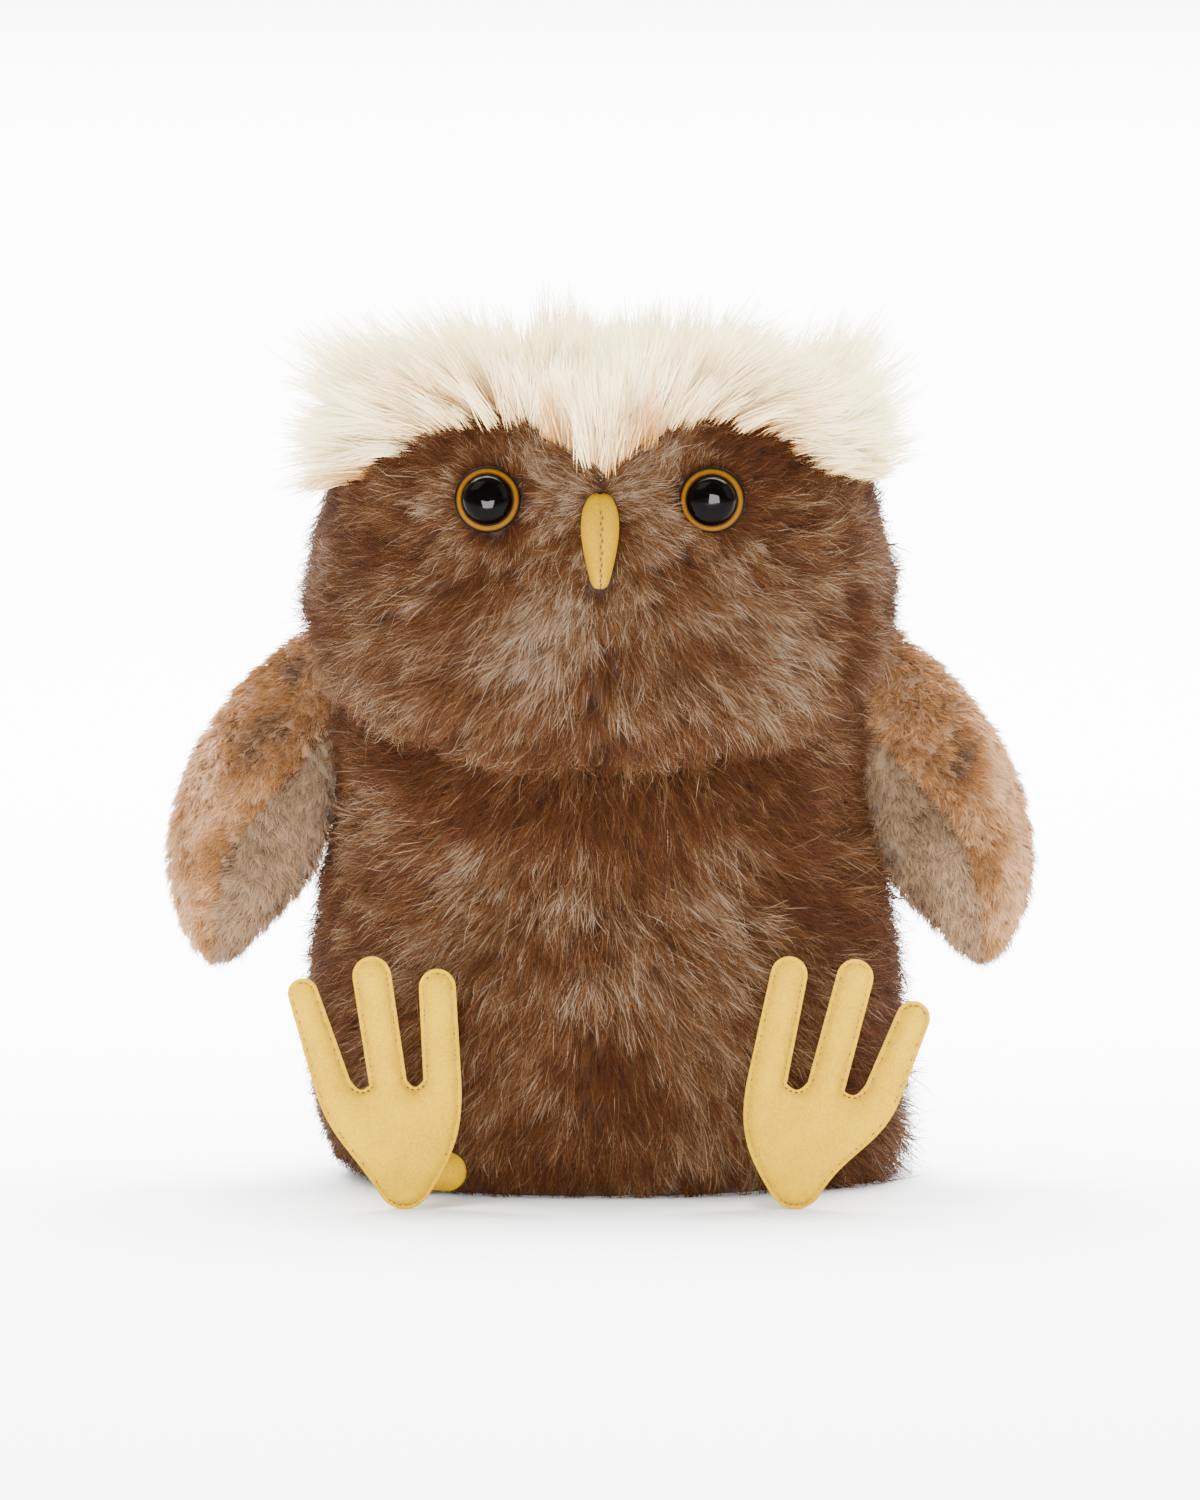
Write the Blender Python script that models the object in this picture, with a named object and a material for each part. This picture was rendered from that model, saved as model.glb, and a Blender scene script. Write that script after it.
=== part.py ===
# A sitting plush owl: a stuffed torso and head on a tilted neck seam, a crest of long
# pile, safety eyes, a suede beak, two hanging wings and two upright three-toed feet on
# short legs. Each sewn panel, each stuffing core and each plastic part is its own solid.
# Metres, +Z up. The owl faces -Y. Left and right are as seen from in front of it, so
# the right-hand pieces are at +X. The origin is on the surface it sits on, under the
# middle of the torso.

import math

import bmesh
import bpy
import numpy as np
from mathutils import Matrix, Vector
from mathutils.geometry import delaunay_2d_cdt

# Clearance between touching pieces, and how far a cutter runs past what it cuts
GAP = 0.0003
SEAT_EASE = 0.0005            # between a faceted form and what is trimmed to it
OVERRUN = 0.010
SHARP_EDGE = math.radians(50)  # edges that turn more than this are shaded sharp
SURFACE_STEP_SHARE = 0.001    # also in angle, to find which way a surface faces
SEARCH_STEPS = 40             # halvings that find a place on a surface
SEARCH_SIDE = 9               # points along each side of a search's grid
SEARCH_SHRINK_SHARE = 0.6     # of a search's reach, left for its next step

# Torso
TORSO_WIDTH = 0.1324
TORSO_DEPTH = 0.1160
NECK_HEIGHT = 0.1226          # of the neck seam at the sides
NECK_TILT = math.radians(24.0)
NECK_TILT_START_SHARE = 0.25  # share of the height below which the slices stay level
TORSO_SQUARENESS = 2.25       # 2 is an ellipse, more is boxier
TORSO_BACK_SHIFT = 0.0010
BODY_FABRIC = 0.0040          # pile and backing of the brown fur fabric
CREST_PILE = 0.0085           # extra height of the long crest pile
CREST_RISE_LENGTH = 0.0150    # from its hem, along the surface, to its full height
CREST_FADE_LENGTH = 0.0170    # from the back panels, forwards, to its full height
CREST_LEAST_SHARE = 0.15      # of its full height, along its borders
CREST_TUFT = 0.0075           # extra height of the tufts at the crest's outer corners
CREST_TUFT_START_SHARE = 0.40  # of the head's half width
CREST_TUFT_LENGTH_SHARE = 0.40
BASE_FABRIC = 0.0030
POUCH_HEIGHT = 0.0240
POUCH_ROW_SHARES = (0.3, 0.6, 1.0)
TORSO_WIDTH_SHARES = (  # share of the neck height, share of the width
    (0.00, 0.790),
    (0.03, 0.905),
    (0.08, 0.960),
    (0.18, 0.990),
    (0.34, 1.000),
    (0.55, 0.955),
    (0.74, 0.905),
    (0.92, 0.890),
    (1.00, 0.845),
)

# Head
HEAD_WIDTH = 0.1330
HEAD_DEPTH = 0.1140
HEAD_BACK_SHARE = 0.94        # of the width's share of the depth, behind the ears
HEAD_HEIGHT = 0.0629          # at the sides, from the neck seam to the top
HEAD_SQUARENESS = 2.45
HEAD_FRONT_SHIFT = -0.0020    # the chin hangs forward over the torso
CROWN_BACK_SHIFT = 0.0040
CROWN_RADIUS = 0.0012         # where the head's panels meet at the top
HEAD_SHARES = (  # share of the way from neck to top, of the width, of the front's depth
    (0.00, 0.850, 0.880),
    (0.05, 0.945, 0.975),
    (0.15, 1.000, 1.025),
    (0.34, 0.975, 1.020),
    (0.54, 0.935, 0.990),
    (0.74, 0.880, 0.935),
    (0.86, 0.790, 0.840),
    (0.94, 0.620, 0.670),
    (0.985, 0.340, 0.380),
)
HEAD_TOP = NECK_HEIGHT + HEAD_HEIGHT
HEM_DROP_AT_MIDDLE = 0.0224   # of the crest's hem below the head's top, at the centre seam
HEM_DROP_OVER_EYES = 0.0107
HEM_DROP_AT_SIDES = 0.0262
HEM_ARCH_FROM_MIDDLE = 0.0260

# How finely the body panels are faceted: columns in a quarter turn, rows up a form
QUARTER_COLUMNS = 7
TORSO_ROW_SHARES = (0.0, 0.03, 0.08, 0.16, 0.28, 0.42, 0.56, 0.70, 0.83, 0.93, 1.0)
FACE_ROWS = 6
CREST_ROWS = 7
HEAD_ROWS = 10
STUFFING_EASE = 0.0013        # how slack the head's stuffing lies in its cover
STUFFING_TOP_SHARE = 0.90

# Eyes
EYE_FROM_MIDDLE = 0.0252
EYE_DROP = 0.0277             # of its middle below the head's top
EYE_COLLAR_RADIUS = 0.0075
EYE_COLLAR_THICKNESS = 0.0018
EYE_DOME_RADIUS = 0.0057
EYE_DOME_RISE = 0.0042
EYE_SHANK_RADIUS = 0.0017
EYE_SHANK_LENGTH = 0.0110
EYE_SEAT_DEPTH = 0.0002       # how far the middle of the collar is pressed into the pile
EYE_COLLAR_EDGE = 0.0006
EYE_WASHER_RADIUS = 0.0044
EYE_WASHER_THICKNESS = 0.0012
EYE_FACETS = 16
EYE_DOME_ROWS = 4
EYE_TURNS = {"left": (math.radians(-4.0), math.radians(-4.0)),
             "right": (math.radians(-3.0), math.radians(2.0))}  # yaw, pitch down

# Beak
BEAK_DROP = 0.0255            # of its top below the head's top
BEAK_LENGTH = 0.0216
BEAK_WIDTH = 0.0086
BEAK_REACH = 0.0070
BEAK_ROOT = 0.0040            # how far the open back runs in before it is trimmed
SUEDE = 0.0009
BEAK_LEAST_SHARE = 0.06       # of the width, where the beak closes
BEAK_ROWS = 10
BEAK_COLUMNS = 4
BEAK_SHARES = (  # share of the profile, of the way down, of the width, of the reach
    (0.00, 0.000, 0.30, 0.10),
    (0.08, 0.025, 0.52, 0.36),
    (0.20, 0.130, 0.82, 0.68),
    (0.36, 0.320, 1.00, 0.92),
    (0.54, 0.560, 0.90, 1.00),
    (0.72, 0.800, 0.68, 0.96),
    (0.86, 0.960, 0.48, 0.80),
    (0.94, 1.000, 0.36, 0.48),
    (1.00, 0.985, 0.26, 0.14),
)

# Wings
WING_FABRIC = 0.0025
WING_CHORD = 0.0390
WING_THICKNESS = 0.0240
WING_FACING = math.radians(45)   # how far the outer face turns from sideways to the front
WING_LEAST = 0.0006            # half width where an inner layer closes
WING_CROWDING_SHARE = 0.5      # how far the rows crowd towards both ends
WING_ROWS = 9
WING_FACETS = {"outer": 6, "lining": 9}
WING_ROOT_ANGLE = math.radians(15)  # behind the side of the torso
WING_ROOT_SHARE = 0.955             # of the neck height
WING_ROOT_STANDOFF = 0.0030
WING_MIDDLE_OUT = 0.0785       # from the torso's middle line, sideways
WING_MIDDLE_BACK = 0.0010
WING_MIDDLE_HEIGHT = 0.0900
WING_TIP_OUT = 0.0875
WING_TIP_FORWARD = 0.0030
WING_TIP_HEIGHT = 0.0490
WING_SEAM_START_SHARE = 0.20   # of the way down, where the front seam leaves the edge
WING_SEAM_LENGTH_SHARE = 0.55
WING_SEAM_TURN = math.radians(62)  # how far round onto the outer face it ends
WING_SHARES = (  # share of the way down, of the chord, of the thickness
    (0.00, 0.18, 0.24),
    (0.08, 0.42, 0.44),
    (0.20, 0.68, 0.68),
    (0.35, 0.88, 0.88),
    (0.52, 1.00, 1.00),
    (0.68, 0.98, 0.98),
    (0.82, 0.80, 0.82),
    (0.92, 0.54, 0.58),
    (0.98, 0.28, 0.32),
    (1.00, 0.12, 0.14),
)

# Feet
FOOT_FROM_MIDDLE = 0.0438
FOOT_MIDDLE = -0.0690         # the plane where the foot's panels meet
FOOT_HEIGHT = 0.0567
FOOT_SWELL = 0.0026           # of each side, over the edge where the panels meet
FOOT_SWELL_WIDTH = 0.0050     # from the edge to the full swell
FOOT_RING_INSET = 0.0016      # of the ring that rounds the swell and bounds the stuffing
SHEET_MERGE = 0.000003        # points of the foot's sheet closer than this are one
TOE_HALF_WIDTHS = {"left": (0.0034, 0.0043, 0.0041), "right": (0.0041, 0.0041, 0.0038)}
TOE_ROOT_HALF_WIDTHS = {"left": (0.0041, 0.0042, 0.0042), "right": (0.0044, 0.0042, 0.0042)}
CROTCH_DEPTH = 0.0016
HEEL_RADIUS = 0.0062
HEEL_HALF_ARC = math.radians(62)
TOE_ARC_POINTS = 5
CROTCH_ARC_POINTS = 3
HEEL_ARC_POINTS = 5
SIDE_POINTS = 4
SIDE_BOW_SHARE = 0.42         # of a side's length, for the handles of its curve
TOE_TIP_SHARES = {  # sideways from the heel and up from it, as shares of the foot's height
    "left": ((-0.418, 0.912), (-0.139, 1.000), (0.127, 0.952)),
    "right": ((-0.012, 1.000), (0.252, 0.988), (0.488, 0.820)),
}
TOE_ROOT_SHARES = {
    "left": ((-0.283, 0.490), (-0.064, 0.500), (0.150, 0.515)),
    "right": ((-0.112, 0.512), (0.120, 0.485), (0.345, 0.465)),
}
PALM_MIDDLE_SHARES = {  # where the swell of the palm is carried
    "left": ((-0.170, 0.400), (0.040, 0.400), (-0.060, 0.250)),
    "right": ((-0.020, 0.400), (0.180, 0.380), (0.060, 0.250)),
}

# Legs
LEG_RADIUS = 0.0044
LEG_HEIGHT = 0.0078           # of the leg's middle line above the ground
LEG_ROOT_FROM_MIDDLE = {"left": 0.0300, "right": 0.0405}
LEG_END_FROM_MIDDLE = {"left": 0.0405, "right": 0.0425}
LEG_FACETS = 12
LEG_CAP_FACETS = 4
LEG_MOUTH_RADIUS = 0.0018     # the opening that the leg is filled through

# Colours of the viewport materials: red, green, blue, roughness
COLOURS = {
    "brown_fur": (0.36, 0.17, 0.08, 0.95),
    "cream_pile": (0.90, 0.84, 0.72, 0.95),
    "tan_fur": (0.62, 0.42, 0.27, 0.95),
    "greige_fur": (0.52, 0.42, 0.32, 0.95),
    "yellow_suede": (0.78, 0.63, 0.28, 0.90),
    "amber_plastic": (0.60, 0.28, 0.02, 0.25),
    "black_plastic": (0.01, 0.01, 0.01, 0.08),
    "white_plastic": (0.80, 0.80, 0.80, 0.50),
    "stuffing": (0.92, 0.92, 0.90, 1.00),
    "pellet_cloth": (0.80, 0.78, 0.74, 0.95),
}


def clear_scene():
    """Remove the objects of the start-up scene."""
    for thing in list(bpy.data.objects):
        bpy.data.objects.remove(thing, do_unlink=True)


def material(name, colour):
    """A piece's own Principled material, in one of the named colours."""
    red, green, blue, roughness = COLOURS[colour]
    made = bpy.data.materials.new(name)
    made.use_nodes = True
    shader = made.node_tree.nodes["Principled BSDF"]
    shader.inputs["Base Color"].default_value = (red, green, blue, 1.0)
    shader.inputs["Roughness"].default_value = roughness
    made.diffuse_color = (red, green, blue, 1.0)
    return made


def empty(name, place):
    """An empty on a joint's axis, which carries the pieces that turn there."""
    holder = bpy.data.objects.new(name, None)
    holder.location = place
    bpy.context.scene.collection.objects.link(holder)
    return holder


def piece(name, vertices, faces, colour, parent=None):
    """A named object from world-space vertices, with its faces turned outwards."""
    origin = Vector(parent.location) if parent else Vector((0.0, 0.0, 0.0))
    mesh = bpy.data.meshes.new(name)
    shape = bmesh.new()
    points = [shape.verts.new(Vector(tuple(v)) - origin) for v in vertices]
    for face in faces:
        shape.faces.new([points[i] for i in face])
    bmesh.ops.recalc_face_normals(shape, faces=shape.faces)
    if shape.calc_volume(signed=True) < 0:
        bmesh.ops.reverse_faces(shape, faces=shape.faces)
    shape.to_mesh(mesh)
    shape.free()
    mesh.materials.append(material(name, colour))
    mesh.shade_smooth()
    mesh.set_sharp_from_angle(angle=SHARP_EDGE)
    made = bpy.data.objects.new(name, mesh)
    bpy.context.scene.collection.objects.link(made)
    if parent:
        made.parent = parent
    return made


def cut(target, cutter):
    """Take a cutter's space out of a piece."""
    trim = target.modifiers.new("cut_" + cutter.name, "BOOLEAN")
    trim.operation = "DIFFERENCE"
    trim.solver = "EXACT"
    trim.object = cutter


def as_cutter(shape):
    """Keep a cutter out of sight and out of the part."""
    shape.hide_render = True
    shape.display_type = "WIRE"
    return shape


def smooth_table(shares, at):
    """Read a table of shares at some places, on a smooth curve through its points."""
    table = np.array(shares, float)
    x, y = table[:, 0], table[:, 1:]
    slope = np.gradient(y, x, axis=0)
    at = np.clip(np.asarray(at, float), x[0], x[-1])
    i = np.clip(np.searchsorted(x, at, side="right") - 1, 0, len(x) - 2)
    step = (x[i + 1] - x[i])[:, None]
    t = ((at - x[i]) / (x[i + 1] - x[i]))[:, None]
    return (
        (2 * t**3 - 3 * t**2 + 1) * y[i]
        + (t**3 - 2 * t**2 + t) * step * slope[i]
        + (3 * t**2 - 2 * t**3) * y[i + 1]
        + (t**3 - t**2) * step * slope[i + 1]
    )


def ease(value):
    """Smooth step from 0 to 1."""
    value = np.clip(value, 0.0, 1.0)
    return value * value * (3.0 - 2.0 * value)


def rounded(angle, squareness):
    """Cosine and sine of an angle on a unit oval that may be boxier than a circle."""
    cos, sin = np.cos(angle), np.sin(angle)
    power = 2.0 / squareness
    return np.sign(cos) * np.abs(cos) ** power, np.sign(sin) * np.abs(sin) ** power


def neck_plane(y, lift):
    """Height of the neck seam's plane at a depth, raised a little."""
    return NECK_HEIGHT + lift + y * math.tan(NECK_TILT)


def torso_point(angle, share):
    """A point on the torso's outside: share 0 is the base, 1 is the neck seam."""
    angle, share = np.broadcast_arrays(np.asarray(angle, float), np.asarray(share, float))
    wide = smooth_table(TORSO_WIDTH_SHARES, share.ravel())[:, 0].reshape(share.shape)
    cos, sin = rounded(angle, TORSO_SQUARENESS)
    start = NECK_TILT_START_SHARE
    tilt = NECK_TILT * ease((share - start) / (1.0 - start))
    x = wide * TORSO_WIDTH / 2 * cos
    y = wide * TORSO_DEPTH / 2 * sin + TORSO_BACK_SHIFT
    return np.stack([x, y, share * NECK_HEIGHT + y * np.tan(tilt)], axis=-1)


def head_point(angle, share):
    """A point on the head's outside: share 0 is the neck seam, 1 is the top."""
    angle, share = np.broadcast_arrays(np.asarray(angle, float), np.asarray(share, float))
    wide, front = smooth_table(HEAD_SHARES, share.ravel()).T.reshape((2,) + share.shape)
    last = HEAD_SHARES[-1][0]
    closing = np.clip((share - last) / (1.0 - last), 0.0, 1.0)
    crown = CROWN_RADIUS / (HEAD_WIDTH / 2)
    wide, front = wide + (crown - wide) * closing, front + (crown - front) * closing
    cos, sin = rounded(angle, HEAD_SQUARENESS)
    deep = np.where(sin < 0, front, wide * HEAD_BACK_SHARE)
    tilt = NECK_TILT * (1.0 - ease(share))
    shift = HEAD_FRONT_SHIFT + (CROWN_BACK_SHIFT - HEAD_FRONT_SHIFT) * ease(share)
    x = wide * HEAD_WIDTH / 2 * cos
    y = deep * HEAD_DEPTH / 2 * sin + shift
    rise = NECK_HEIGHT + share * (HEAD_TOP - NECK_HEIGHT)
    return np.stack([x, y, rise + y * np.tan(tilt)], axis=-1)


def outward(point_at, angle, share):
    """Unit normals of a form, from small steps along its surface."""
    step = SURFACE_STEP_SHARE
    low, high = np.clip(share - step, 0.0, 1.0), np.clip(share + step, 0.0, 1.0)
    along = point_at(angle, high) - point_at(angle, low)
    around = point_at(angle + step, share) - point_at(angle - step, share)
    normal = np.cross(around, along)
    return normal / np.linalg.norm(normal, axis=-1, keepdims=True)


def grid_shell(outer, inner):
    """Vertices and faces of a closed sheet between an outer and an inner grid of points."""
    columns, rows = outer.shape[:2]
    vertices = np.concatenate([outer.reshape(-1, 3), inner.reshape(-1, 3)])
    back = columns * rows

    def at(i, j, layer):
        return layer * back + i * rows + j

    faces = []
    for i in range(columns - 1):
        for j in range(rows - 1):
            faces.append((at(i, j, 0), at(i + 1, j, 0), at(i + 1, j + 1, 0), at(i, j + 1, 0)))
            faces.append((at(i, j, 1), at(i, j + 1, 1), at(i + 1, j + 1, 1), at(i + 1, j, 1)))
    for i in range(columns - 1):
        for j in (0, rows - 1):
            faces.append((at(i, j, 0), at(i + 1, j, 0), at(i + 1, j, 1), at(i, j, 1)))
    for j in range(rows - 1):
        for i in (0, columns - 1):
            faces.append((at(i, j, 0), at(i, j + 1, 0), at(i, j + 1, 1), at(i, j, 1)))
    return vertices, faces


def closed_rings(rings):
    """Vertices and faces of a solid through closed rings of points, capped at both ends."""
    count, size = rings.shape[:2]
    vertices = rings.reshape(-1, 3)
    faces = []
    for j in range(count - 1):
        for i in range(size):
            k = (i + 1) % size
            faces.append((j * size + i, j * size + k, (j + 1) * size + k, (j + 1) * size + i))
    faces.append(tuple(range(size)))
    faces.append(tuple((count - 1) * size + i for i in range(size)))
    return vertices, faces


def turned(profile, facets, close=True):
    """Vertices and faces of a solid turned about +Z from a profile of (radius, height).

    A closed profile is a ring that never touches the axis. An open one starts and ends
    on the axis."""
    body = profile if close else profile[1:-1]
    vertices = []
    for radius, height in body:
        for i in range(facets):
            angle = 2 * math.pi * i / facets
            vertices.append((radius * math.cos(angle), radius * math.sin(angle), height))
    faces = []
    rings = len(body)
    for j in range(rings if close else rings - 1):
        for i in range(facets):
            k, n = (i + 1) % facets, (j + 1) % rings
            faces.append((j * facets + i, j * facets + k, n * facets + k, n * facets + i))
    if not close:
        first, last = len(vertices), len(vertices) + 1
        vertices += [(0.0, 0.0, profile[0][1]), (0.0, 0.0, profile[-1][1])]
        for i in range(facets):
            k = (i + 1) % facets
            faces.append((first, i, k))
            faces.append((last, (rings - 1) * facets + k, (rings - 1) * facets + i))
    return vertices, faces


def placed(vertices, place, direction):
    """Turned vertices with their +Z along a direction and their origin at a place."""
    turn = Vector((0.0, 0.0, 1.0)).rotation_difference(Vector(direction))
    move = Matrix.Translation(Vector(place)) @ turn.to_matrix().to_4x4()
    return [move @ Vector(v) for v in vertices]


# The torso: two front panels, a back panel, the base, the pellet pouch and the stuffing

QUARTER = math.pi / 2
FRONT = 3 * QUARTER  # the angle of -Y


def seam_moved(grid, column, axis, side):
    """Draw a panel's border column half a gap back from the plane of its seam."""
    seam = 0.0 if axis == 0 else grid[column, :, axis].copy()
    grid[column, :, axis] = seam + side * GAP / 2


def torso_panel(start, end, columns):
    """A fur panel of the torso, from one upright seam to the next."""
    angle, share = np.meshgrid(
        np.linspace(start, end, columns + 1), np.array(TORSO_ROW_SHARES), indexing="ij"
    )
    outer = torso_point(angle, share)
    inner = outer - outward(torso_point, angle, share) * BODY_FABRIC
    for grid in (outer, inner):
        grid[:, 0, 2] = 0.0
        grid[:, -1, 2] = neck_plane(grid[:, -1, 1], -GAP / 2)
    return outer, inner


def side_gap(outer, inner, column, axis, side):
    """Pull both layers of a border column back from the seam's plane."""
    for grid in (outer, inner):
        seam_moved(grid, column, axis, side)


def build_torso():
    """The torso's panels and what they hold."""
    for name, start, side in (("left", FRONT - QUARTER, -1), ("right", FRONT, 1)):
        outer, inner = torso_panel(start, start + QUARTER, QUARTER_COLUMNS)
        middle, border = (-1, 0) if side < 0 else (0, -1)
        side_gap(outer, inner, middle, 0, side)
        side_gap(outer, inner, border, 1, -1)
        piece("torso_front_" + name, *grid_shell(outer, inner), "brown_fur")
    outer, inner = torso_panel(0.0, 2 * QUARTER, 2 * QUARTER_COLUMNS)
    side_gap(outer, inner, 0, 1, 1)
    side_gap(outer, inner, -1, 1, 1)
    piece("torso_back", *grid_shell(outer, inner), "brown_fur")
    build_torso_inside()


def torso_rings(inset):
    """A closed ring of points for each row of the torso, some way in from its outside."""
    angle = np.arange(4 * QUARTER_COLUMNS) * QUARTER / QUARTER_COLUMNS
    rings = []
    for share in TORSO_ROW_SHARES:
        level = np.full_like(angle, share)
        rings.append(torso_point(angle, level) - outward(torso_point, angle, level) * inset)
    rings = np.array(rings)
    rings[0, :, 2] = 0.0
    rings[-1, :, 2] = neck_plane(rings[-1, :, 1], -GAP / 2)
    return rings


def level_ring(rings, height):
    """The ring of points where upright lines through some rings reach a height."""
    ring = []
    for line in rings.transpose(1, 0, 2):
        x = np.interp(height, line[:, 2], line[:, 0])
        y = np.interp(height, line[:, 2], line[:, 1])
        ring.append((x, y, height))
    return np.array(ring)


def build_torso_inside():
    """The base panel, the pellet pouch and the stuffing, one above the other."""
    rings = torso_rings(BODY_FABRIC + GAP)
    base = [level_ring(rings, height) for height in (0.0, BASE_FABRIC)]
    piece("base_panel", *closed_rings(np.array(base)), "brown_fur")

    rings = torso_rings(BODY_FABRIC + 2 * GAP)
    heights = [BASE_FABRIC + GAP, *(share * POUCH_HEIGHT for share in POUCH_ROW_SHARES)]
    pouch = [level_ring(rings, height) for height in heights]
    piece("pellet_pouch", *closed_rings(np.array(pouch)), "pellet_cloth")

    floor = POUCH_HEIGHT + GAP
    above = [ring for ring in rings if ring[:, 2].min() > floor + BASE_FABRIC]
    core = [level_ring(rings, floor), *above]
    piece("torso_stuffing", *closed_rings(np.array(core)), "stuffing")


# The head: two face panels, two crest panels, two back panels and the stuffing


def hem_height(x):
    """Height of the crest's hem at a distance from the middle: a V, an arch, a fall."""
    reach = np.abs(x)
    arch = HEM_ARCH_FROM_MIDDLE
    rise = np.sin(QUARTER * np.minimum(reach / arch, 1.0))
    drop = HEM_DROP_AT_MIDDLE + (HEM_DROP_OVER_EYES - HEM_DROP_AT_MIDDLE) * rise
    fall = ease((reach - arch) / (HEAD_WIDTH / 2 - arch))
    return HEAD_TOP - drop - (HEM_DROP_AT_SIDES - HEM_DROP_OVER_EYES) * fall


def hem_share(angle):
    """The share of the head's height at which each column of the face meets the hem."""
    low, high = np.zeros_like(angle), np.ones_like(angle)
    for _ in range(SEARCH_STEPS):
        middle = (low + high) / 2
        point = head_point(angle, middle)
        below = point[..., 2] < hem_height(point[..., 0])
        low, high = np.where(below, middle, low), np.where(below, high, middle)
    return low


def head_panel(angle, share):
    """Outer and inner grids of a head panel."""
    surface = head_point(angle, share)
    return surface, surface - outward(head_point, angle, share) * BODY_FABRIC


def crest_pile(surface):
    """How far the crest's pile stands out over a grid of points, low along its borders."""
    steps = np.linalg.norm(np.diff(surface, axis=1), axis=-1)
    run = np.concatenate([np.zeros((len(steps), 1)), np.cumsum(steps, axis=1)], axis=1)
    from_back = -surface[..., 1]
    near = np.minimum(run / CREST_RISE_LENGTH, from_back / CREST_FADE_LENGTH)
    reach = np.abs(surface[..., 0]) / (HEAD_WIDTH / 2)
    tuft = CREST_TUFT * ease((reach - CREST_TUFT_START_SHARE) / CREST_TUFT_LENGTH_SHARE)
    return (CREST_PILE + tuft) * np.sin(QUARTER * np.clip(near, CREST_LEAST_SHARE, 1.0))


def rest_on_neck(grid):
    """Put a panel's lowest row in the plane of the neck seam."""
    grid[:, 0, 2] = neck_plane(grid[:, 0, 1], GAP / 2)


def face_rows(hem):
    """Shares of the rows of a face panel, from the neck up to the hem of each column."""
    margin = GAP / (HEAD_TOP - NECK_HEIGHT)
    return np.linspace(0.0, 1.0, FACE_ROWS + 1)[None, :] * (hem - margin)[:, None]


def crest_rows(hem):
    """Shares of the rows of a crest panel, from the hem up, crowding at the crown."""
    margin = GAP / (HEAD_TOP - NECK_HEIGHT)
    start = (hem + margin)[:, None]
    rows = np.sin(QUARTER * np.linspace(0.0, 1.0, CREST_ROWS + 1))[None, :]
    return start + rows * (1.0 - start)


def build_head(turn):
    """The head's panels and stuffing, all on the turning head."""
    for name, start, side in (("left", FRONT - QUARTER, -1), ("right", FRONT, 1)):
        column = np.linspace(start, start + QUARTER, QUARTER_COLUMNS + 1)
        hem = hem_share(column)
        middle, border = (-1, 0) if side < 0 else (0, -1)

        share = face_rows(hem)
        angle = np.broadcast_to(column[:, None], share.shape)
        outer, inner = head_panel(angle, share)
        for grid in (outer, inner):
            rest_on_neck(grid)
        side_gap(outer, inner, middle, 0, side)
        side_gap(outer, inner, border, 1, -1)
        piece("face_" + name, *grid_shell(outer, inner), "brown_fur", turn)

        share = crest_rows(hem)
        angle = np.broadcast_to(column[:, None], share.shape)
        outer, inner = head_panel(angle, share)
        rise = outward(head_point, angle, share) * crest_pile(outer)[..., None]
        outer = outer + rise
        side_gap(outer, inner, middle, 0, side)
        side_gap(outer, inner, border, 1, -1)
        piece("crest_" + name, *grid_shell(outer, inner), "cream_pile", turn)
    build_head_back(turn)
    build_head_stuffing(turn)


def build_head_back(turn):
    """The two panels of the back of the head, with a centre seam."""
    hem = hem_share(np.array([FRONT + QUARTER]))
    rows = np.concatenate([face_rows(hem)[0], crest_rows(hem)[0, 1:]])
    for name, start, side in (("left", QUARTER, -1), ("right", 0.0, 1)):
        column = np.linspace(start, start + QUARTER, QUARTER_COLUMNS + 1)
        angle, share = np.meshgrid(column, rows, indexing="ij")
        outer, inner = head_panel(angle, share)
        for grid in (outer, inner):
            rest_on_neck(grid)
        middle, border = (0, -1) if side < 0 else (-1, 0)
        side_gap(outer, inner, middle, 0, side)
        side_gap(outer, inner, border, 1, 1)
        piece("head_back_" + name, *grid_shell(outer, inner), "brown_fur", turn)


def head_rings(inset, last_share):
    """Closed rings of points round the head, some way in from its outside."""
    angle = np.arange(4 * QUARTER_COLUMNS) * QUARTER / QUARTER_COLUMNS
    rings = []
    for share in np.sin(QUARTER * np.linspace(0.0, 1.0, HEAD_ROWS + 1)):
        level = np.full_like(angle, min(share, last_share))
        rings.append(head_point(angle, level) - outward(head_point, angle, level) * inset)
        if share >= last_share:
            break
    rings = np.array(rings)
    rings[0, :, 2] = neck_plane(rings[0, :, 1], GAP / 2)
    return rings


def build_head_stuffing(turn):
    """The stuffing under the head's panels, a little slacker than the cover it fills."""
    rings = head_rings(BODY_FABRIC + STUFFING_EASE, STUFFING_TOP_SHARE)
    return piece("head_stuffing", *closed_rings(rings), "stuffing", turn)


def face_at(x, z):
    """The face's point and normal at a distance from the middle and a height."""
    angle, share, reach = FRONT, 1 / 2, QUARTER
    for _ in range(SEARCH_STEPS):
        angles = np.linspace(angle - reach, angle + reach, SEARCH_SIDE)
        shares = np.linspace(share - reach / 2, share + reach / 2, SEARCH_SIDE)
        shares = np.clip(shares, 0.0, 1.0)
        grid = head_point(angles[:, None], shares[None, :])
        miss = np.hypot(grid[..., 0] - x, grid[..., 2] - z)
        i, j = np.unravel_index(np.argmin(miss), miss.shape)
        angle, share = angles[i], shares[j]
        reach *= SEARCH_SHRINK_SHARE
    angle, share = np.array(angle), np.array(share)
    return head_point(angle, share), outward(head_point, angle, share)


# The eyes: a collar ring, a dome with its shank, and a lock washer behind the fabric


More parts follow.
